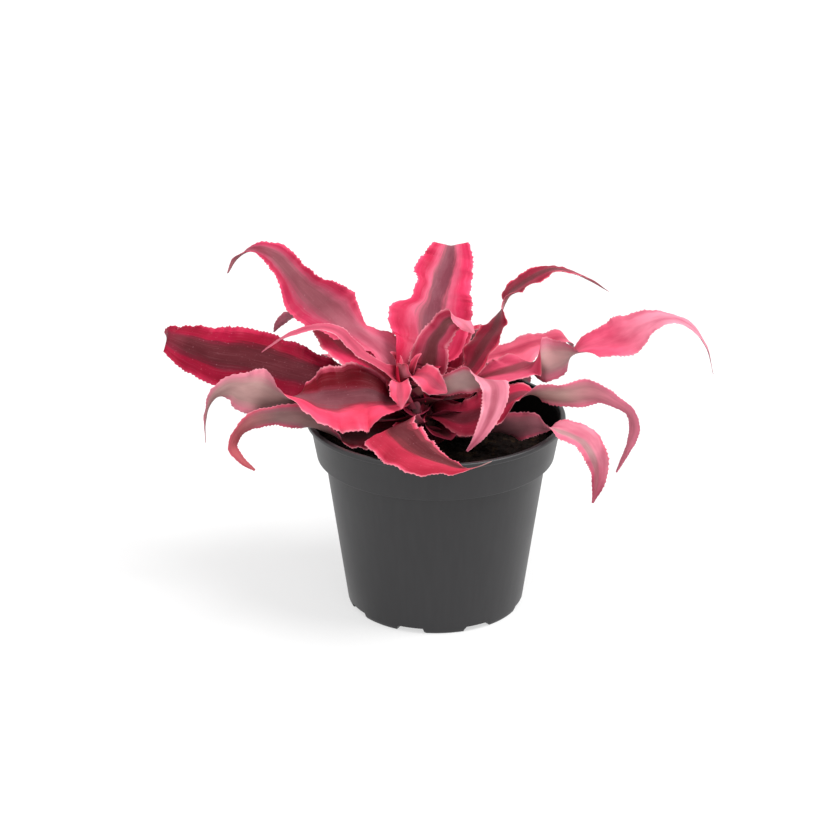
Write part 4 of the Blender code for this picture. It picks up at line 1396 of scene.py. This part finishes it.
LEAVES: tuple[LeafBlade, ...] = (
    # Broad leaf arching out to the left, its end cupped and turned down.
    LeafBlade(
        "leaf_left_broad", azimuth=166, seat=(166, 92), fold=-14, tone=LeafTone.MAROON_STRIPED,
        stations=(
            (28, 4, 102, 20, 18), (50, 3, 106, 30, 26), (71, 3, 110, 45, 30),
            (89, 3, 113, 50, 31), (106, 3, 114, 50, 29), (120, 2, 117, 45, 22),
            (129, 1, 119, 40, 13), (131, -3, 117, 40, 9), (129, -10, 112, 40, 7),
            (124, -16, 107, 40, 2),
        ),
    ),
    # Rises steeply to the upper left and ends in a narrow, curled tip.
    LeafBlade(
        "leaf_left_high", azimuth=146, seat=(146, 102), fold=10, tone=LeafTone.MAUVE_STRIPED,
        lobes=(
            (1, 16, 11, 10.5), (1, 38, 7, -3.4), (1, 54, 5, 3.0), (1, 72, 8, -3.4), (-1, 66, 13, 3.4),
        ),
        clasp_width=24.0, wave=1.2,
        stations=(
            (34, 0, 119.5, 5, 16), (53, 3, 130, 25, 23), (66, 4, 139, 40, 24),
            (79, 5, 148, 25, 17), (87, 7, 155, 20, 13), (95, 13, 158, 10, 9),
            (100, 19, 154, 0, 5), (102, 23, 148, 0, 1),
        ),
    ),
    # Behind the two above: its arch and hanging end show between them.
    LeafBlade(
        "leaf_left_behind", azimuth=150, seat=(133, 97), seat_width=5, seat_clear=0.7, fold=15,
        tone=LeafTone.DUSKY, lobes=((1, 82, 8, -2.2), (-1, 82, 8, -1.2)),
        stations=(
            (28, 4, 109.5, 8, 13), (36, 3.5, 113.5, 15, 22), (45, 2, 117, 18, 26),
            (55, -1, 120.5, 10, 24), (64, -5, 123, 0, 20), (72, -7, 125, -10, 17),
            (79, -7, 125, -20, 14), (85, -7, 122, -35, 10), (89.5, -6, 118, -40, 6),
            (92, -5, 114, -40, 1),
        ),
    ),
    # Inner leaf on the left: it arches over and its thin tip twists down.
    LeafBlade(
        "leaf_left_inner", azimuth=178, seat=(178, 107), seat_width=4.5, seat_clear=0.1, fold=10,
        tone=LeafTone.ROSE_ARCHED,
        stations=(
            (22, 5.5, 116, 10, 5), (33, 6.5, 124, 20, 6.5), (39, 8, 130.5, 30, 7),
            (42, 9, 134.5, 30, 6.5), (46, 10, 137.3, 20, 6), (51, 10, 138.4, 15, 5.5),
            (57, 10, 137.8, 15, 5), (63, 11, 136, 10, 4.5), (70, 13, 133.3, 0, 3.8),
            (75, 16, 130.8, 0, 2.8), (78, 18, 129, 0, 1),
        ),
    ),
    # Front left leaf: stands on edge near the stem, twists over and hangs at the tip.
    LeafBlade(
        "leaf_left_front", azimuth=196, seat=(196, 98), seat_clear=0.2, fold=8,
        tone=LeafTone.CRIMSON_FRONT,
        lobes=((-1, 21, 12, 4.5),), wave=1.3, wave_mm=15.0, slant=(61.0, 10.0, -5.0),
        stations=(
            (23, 3, 103, 20, 14), (34, 3.5, 107.5, 52, 28), (48, 5, 107.8, 55, 31),
            (57, 7, 109, 40, 27), (65, 7, 111, 0, 22), (73, 6, 111, -50, 20),
            (82, 5, 113, -85, 22), (90, 4, 115, -95, 20), (97, 3, 117, -90, 12),
            (102, 2, 115, -70, 8), (106, 0, 109, -40, 6), (108, 0, 100, -20, 4),
            (108, 0, 91, -20, 1),
        ),
    ),
    # Lowest leaf on the left: crosses the rim, then turns on edge and droops.
    LeafBlade(
        "leaf_left_low", azimuth=205, seat=(205, 85), fold=8, tone=LeafTone.TAUPE_LOW,
        stations=(
            (26, -2, 86.5, 10, 18), (44, -3, 88.2, 20, 18.5), (56, -1, 94.4, -15, 15),
            (66, 1, 102, -75, 13), (79, -1, 105, -85, 10), (91, -4, 102, -85, 8),
            (96, -5, 97, -70, 7), (98, -5, 92, -60, 6), (95, -3, 86, -60, 4),
            (89, -2, 80, -60, 1),
        ),
    ),
    # Lies forward over the rim and sweeps to the right, with a dry, lifted tip.
    LeafBlade(
        "leaf_front", azimuth=300, seat=(262, 90), seat_width=6, fold=-8, tone=LeafTone.ROSE_BROWN,
        stations=(
            (13, -24, 96, -15, 20), (21, -36, 100, -15, 24), (36, -38, 99.5, -20, 24),
            (48, -35, 97, -15, 20), (58, -28, 95, -5, 13), (63, -23.5, 94, 0, 7.5),
            (66, -19.5, 94.8, 0, 2.5), (70, -12, 98, 0, 1),
        ),
    ),
    # Stands up beside the stem, folds over and hangs down in front on the right.
    LeafBlade(
        "leaf_front_right", azimuth=312, seat=(295, 102), seat_width=6, seat_roll=20,
        seat_clear=0.1, fold=8, tone=LeafTone.ROSE_FOLDED,
        stations=(
            (9, -6, 109, 60, 9), (16, -3, 113.5, 78, 11), (26, -1, 117.5, 62, 14),
            (34, 0, 119.5, 20, 14.5), (40, -1, 118, -10, 13.5), (43, -4, 112, -25, 11),
            (44, -9, 105, -35, 7.5), (44, -14, 99, -40, 4.5), (42, -19, 93, -40, 1),
        ),
    ),
    # Short upright leaf at the centre with a curled top.
    LeafBlade(
        "leaf_centre_upright", azimuth=80, seat=(55, 106), seat_width=6,
        tone=LeafTone.SALMON_STRIPED,
        stations=(
            (8, 5, 113, 0, 19), (8, 4, 119, -2, 18), (8, 3, 125, -5, 15), (9, -1, 131, -5, 12.5),
            (9, -4, 135.5, 10, 12), (8, -8, 137.5, 30, 12), (6, -12, 136.5, 40, 9),
            (5, -17, 132, 40, 1),
        ),
    ),
    # Rises to the right, turns on edge half way and ends in a long thin tip.
    LeafBlade(
        "leaf_right_high", azimuth=38, seat=(18, 103), seat_width=6, fold=8,
        tone=LeafTone.MAROON_RISING, lobes=((-1, 26, 8, -3.0), (1, 24, 9, 3.0)),
        stations=(
            (16, -5, 114, 5, 17), (25, -4, 122, 10, 22), (33, -3, 129, 18, 20),
            (37.5, -1, 134.5, 32, 14), (40.5, 0, 138.5, 58, 7), (45, 0.5, 142, 25, 19),
            (53, -2, 147, 12, 17), (63, -6, 151, 5, 14), (74, -12, 148.5, 0, 9.5),
            (86, -21, 140, 0, 1),
        ),
    ),
    # Longest leaf on the right: twists once near the stem and hooks down at the end.
    LeafBlade(
        "leaf_right_long", azimuth=8, seat=(8, 97), fold=6, tone=LeafTone.CORAL_LONG,
        wave=0.6, slant=(45.0, 9.0, 5.0),
        stations=(
            (12, 0, 105.4, 0, 14), (25, -1, 111, -5, 20), (36, -1, 113.2, -8, 23),
            (43.5, 0, 115, 0, 24), (47, 0.3, 115.6, 50, 24), (50.5, 0.6, 116, 85, 22.5),
            (55, 1, 116.3, 90, 20.5), (60, 1, 117.5, 75, 18), (65.5, 2, 119, 20, 14),
            (71, 3, 121, -10, 15), (79, 3, 122.5, -25, 19), (88, 3, 125.5, -35, 22),
            (98, 4, 130.5, -25, 17), (108, 4, 133, -10, 11), (119, 4, 129, -10, 8),
            (127, 2, 119, -10, 5), (131, 2, 105, -10, 1),
        ),
    ),
    # Right-hand leaf that stands on edge and hooks down over the rim.
    LeafBlade(
        "leaf_right_hooked", azimuth=340, seat=(340, 91), seat_clear=0.1, fold=8,
        tone=LeafTone.TAUPE_HOOKED,
        stations=(
            (18, -7, 96, -35, 20), (26, -7, 100, -35, 26), (35, -5, 105.5, -25, 24),
            (43, -3, 109.5, 0, 19), (53, -2, 110.5, 60, 12), (62, -1, 111, 95, 10),
            (72, 2, 112.5, 95, 12.5), (78, 3, 112, 90, 9), (85, 4, 109, 80, 6),
            (91, 5, 105, 70, 6.5), (93, 6, 99, 60, 7), (91, 6, 88, 50, 5), (86, 4, 75, 50, 1),
        ),
    ),
    # Low leaf on the right that turns on edge, flattens again and hangs below the rim.
    LeafBlade(
        "leaf_right_low", azimuth=325, seat=(325, 84), seat_clear=0.3, fold=8,
        tone=LeafTone.DUSKY_ROSE,
        stations=(
            (20, 3, 86, 0, 16), (32, 3, 91.5, 38, 16), (46, 4, 96.5, 95, 12),
            (53, 4, 99, 90, 10), (59, 4, 98.5, 30, 9), (63, 6, 98.5, -15, 11),
            (69, 8, 97.5, -25, 12), (75.5, 10, 94.5, -30, 12.5), (80, 10, 89.5, -35, 11),
            (82, 11, 83, -40, 9), (82.5, 10, 76, -40, 6.5), (81, 8, 66, -40, 1),
        ),
    ),
    # Tall broad leaf at the back.
    LeafBlade(
        "leaf_back_tall", azimuth=92, seat=(95, 104), seat_width=4.5, seat_clear=0.45,
        tone=LeafTone.HOT_PINK,
        lobes=(
            (-1, 14, 10, 4.5), (-1, 27, 7, 1.0), (-1, 37, 4, 1.5), (-1, 45, 3.2, -5.0), (-1, 51, 6, -6.0),
            (1, 46, 6, 1.2),
        ),
        clasp_width=34.0, clasp_run=16.0,
        stations=(
            (19, 2, 120.5, 0, 32), (26, 1.5, 128, 0, 37), (36, -0.5, 137, 0, 34.5),
            (44, -4, 142, 0, 30), (50, -6, 145.5, 0, 26), (56, -8, 149, 0, 23.5),
            (61, -9.2, 153, 0, 17.5), (67, -9.2, 151, 0, 14), (71, -8, 143, 0, 8),
            (72, -7.5, 136, 0, 2),
        ),
    ),
    # Young leaf folded towards the front of the heart.
    LeafBlade(
        "leaf_young_front", azimuth=265, seat=(245, 105.5), seat_width=4, fold=14,
        tone=LeafTone.YOUNG,
        lobes=((1, 17, 7, -2.2),), clasp_width=11.0, clasp_run=7.0, wave=1.3, wave_mm=9.0,
        stations=(
            (13, -15.5, 112, -10, 10), (18, -15, 109, -10, 12.5), (22, -14, 103.5, -10, 1),
        ),
    ),
    # Young leaf folded over to the right of the heart.
    LeafBlade(
        "leaf_young_right", azimuth=320, seat=(315, 110.5), seat_width=5, fold=14,
        tone=LeafTone.YOUNG, clasp_width=11.0, clasp_run=7.0, wave=1.3, wave_mm=9.0,
        stations=(
            (5, -11.5, 115.4, -40, 12), (10, -12, 113.8, -60, 11.5), (15, -10, 110.5, -50, 1),
        ),
    ),
    # Low back leaf, right.
    LeafBlade(
        "leaf_back_right", azimuth=58, seat=(58, 88), tone=LeafTone.CRIMSON_INNER,
        stations=(
            (28, 0, 97, 0, 22), (50, 0, 101, 0, 25), (68, 0, 94, 0, 18), (80, 0, 82, 0, 8),
            (84, 0, 74, 0, 1),
        ),
    ),
    # Low back leaf, middle.
    LeafBlade(
        "leaf_back_middle", azimuth=105, seat=(105, 84), tone=LeafTone.CRIMSON_INNER,
        stations=(
            (28, 0, 91, 0, 20), (44, 0, 97, 0, 22), (56, 0, 99, 0, 18), (65, 0, 97, 0, 9),
            (70, 0, 92, 0, 1),
        ),
    ),
    # Low back leaf, left.
    LeafBlade(
        "leaf_back_left", azimuth=132, seat=(132, 87), tone=LeafTone.ROSY_BACK,
        stations=(
            (28, 0, 97, 0, 20), (50, 0, 105, 0, 25), (70, 0, 102, 0, 18), (84, 0, 91, 0, 8),
            (89, 0, 81, 0, 1),
        ),
    ),
    # Inner back leaf, between the tall back leaf and the right-hand ones.
    LeafBlade(
        "leaf_back_inner", azimuth=76, seat=(76, 94), seat_width=5, seat_clear=0.3,
        tone=LeafTone.BRIGHT_CRIMSON,
        stations=(
            (18, 1.2, 106, 0, 15.5), (33, 1.7, 116, 0, 21), (50, 1.5, 117, 0, 21),
            (64, 0.5, 109, 0, 14), (72, 0, 99, 0, 1),
        ),
    ),
    # Behind the long right-hand leaf; a little of its arch shows over that leaf's middle.
    LeafBlade(
        "leaf_right_behind", azimuth=22, seat=(45, 99.5), seat_width=4.5, seat_clear=0.3, fold=10,
        tone=LeafTone.CORAL_BEHIND, lobes=((1, 56, 9, 9.0),),
        stations=(
            (17, 6.5, 110.5, 0, 6), (26, 10.5, 111.5, -10, 8), (35, 13.5, 111.5, -15, 10),
            (44, 14, 112.5, -15, 12), (53, 13.5, 114.2, -10, 15), (62, 12.5, 115.4, -6, 16),
            (70, 11.5, 115.6, -3, 14), (75, 11, 110.5, 0, 1),
        ),
    ),
    # Tiny heart leaves at the top of the stem.
    LeafBlade(
        "leaf_heart_right", azimuth=30, seat=(30, 111.5), seat_width=4, seat_clear=0.1, fold=20,
        tone=LeafTone.YOUNG, **HEART_CLASP,
        stations=(
            (-7.5, 6, 117, 0, 6), (-6, 6, 120, 0, 4), (-4, 6, 121.5, 0, 1),
        ),
    ),
    LeafBlade(
        "leaf_heart_left", azimuth=150, seat=(150, 111), seat_width=4, fold=20,
        tone=LeafTone.YOUNG, **HEART_CLASP,
        stations=(
            (18.5, 4, 117, 0, 6), (20, 4, 119.5, 0, 4), (22, 4, 120.5, 0, 1),
        ),
    ),
    LeafBlade(
        "leaf_heart_front", azimuth=265, seat=(265, 111.5), seat_width=4, fold=20,
        tone=LeafTone.YOUNG, **HEART_CLASP,
        stations=(
            (5.5, -15, 117, 0, 6), (7, -15, 119.5, 0, 4), (9, -15, 120.5, 0, 1),
        ),
    ),
)


# --- studio ------------------------------------------------------------------------------------


@dataclass
class Studio:
    """A pale floor, soft light from the upper right, and the camera."""

    floor_size: float = 12.0
    floor_colour: str = "#AAAAAA"
    floor_glow: float = 0.60
    world_strength: float = 0.55
    key_from: tuple[float, float, float] = (1.0, -0.25, 1.65)
    key_spread_deg: float = 34.0
    key_strength: float = 2.5
    fill_from: tuple[float, float, float] = (-0.45, -1.0, 0.55)
    fill_spread_deg: float = 100.0
    fill_strength: float = 1.1
    camera_at: tuple[float, float, float] = (0.0, -1.135, 0.561)
    pitch_deg: float = 22.545
    yaw_deg: float = 0.366
    lens: float = 113.96

    def floor(self) -> None:
        """Lays the floor: a wide square of pale card that shows near white."""
        half = 0.5 * self.floor_size / MM
        corners = np.array([[-half, -half, 0.0], [half, -half, 0.0], [half, half, 0.0], [-half, half, 0.0]])
        floor = new_piece("floor", corners, [[0, 1, 2, 3]])
        made, tree, shader = new_material("matt_card")
        shader.inputs["Base Color"].default_value = linear(self.floor_colour)
        shader.inputs["Roughness"].default_value = 0.9
        shader.inputs["Specular IOR Level"].default_value = 0.0
        shader.inputs["Emission Color"].default_value = (1.0, 1.0, 1.0, 1.0)
        glow = compute(tree, "MULTIPLY", self.seen_white(tree), self.floor_glow)
        tree.links.new(glow, shader.inputs["Emission Strength"])
        floor.data.materials.append(made)

    def seen_white(self, tree: bpy.types.NodeTree) -> bpy.types.NodeSocket:
        """1 for what the camera and the reflections see, 0 for what lights the plant."""
        seen = add_node(tree, "ShaderNodeLightPath")
        return compute(tree, "MAXIMUM", seen.outputs["Is Camera Ray"], seen.outputs["Is Glossy Ray"])

    def world(self) -> None:
        """Sets an even white surround, shown as plain white where nothing else is."""
        world = bpy.data.worlds.new("surround")
        bpy.context.scene.world = world
        world.use_nodes = True
        tree = world.node_tree
        shade = tree.nodes["Background"]
        shade.inputs["Color"].default_value = (1.0, 1.0, 1.0, 1.0)
        level = remap(tree, self.seen_white(tree), 0.0, 1.0, self.world_strength, 1.0)
        tree.links.new(level, shade.inputs["Strength"])

    def sun(self, name: str, come_from: tuple[float, float, float], spread: float, strength: float) -> None:
        """Adds a broad, distant lamp, so that its light falls evenly.

        Args:
            name: Name of the lamp.
            come_from: The direction that its light comes from.
            spread: How wide the lamp looks, in degrees.
            strength: Its strength.
        """
        light = bpy.data.lights.new(name, "SUN")
        light.angle = math.radians(spread)
        light.energy = strength
        lamp = bpy.data.objects.new(name, light)
        bpy.context.scene.collection.objects.link(lamp)
        x, y, z = come_from
        lamp.location = come_from
        lamp.rotation_euler = (math.atan2(math.hypot(x, y), z), 0.0, math.atan2(-y, -x) - 0.5 * math.pi)

    def camera(self) -> None:
        """Places the camera in front, looking down on the plant."""
        data = bpy.data.cameras.new("camera")
        data.lens = self.lens
        data.sensor_width = 36.0
        data.clip_start = 0.05
        data.clip_end = 50.0
        camera = bpy.data.objects.new("camera", data)
        camera.location = self.camera_at
        camera.rotation_euler = (math.radians(90.0 - self.pitch_deg), 0.0, math.radians(self.yaw_deg))
        bpy.context.scene.collection.objects.link(camera)
        bpy.context.scene.camera = camera

    def build(self) -> None:
        """Sets up the whole studio."""
        self.floor()
        self.world()
        self.sun("key", self.key_from, self.key_spread_deg, self.key_strength)
        self.sun("fill", self.fill_from, self.fill_spread_deg, self.fill_strength)
        self.camera()
        bpy.context.scene.view_settings.view_transform = "Standard"


def main() -> None:
    """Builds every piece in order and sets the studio."""
    logging.basicConfig(level=logging.INFO, format="%(name)s: %(message)s")
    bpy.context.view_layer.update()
    pot = NurseryPot()
    pot.build()
    stem = ShortStem()
    PottingMix(pot, stem).build()
    stem.build()
    LeafSheaths().build(stem)
    for leaf in LEAVES:
        leaf.build(stem)
    Studio().build()


if __name__ == "__main__":
    main()
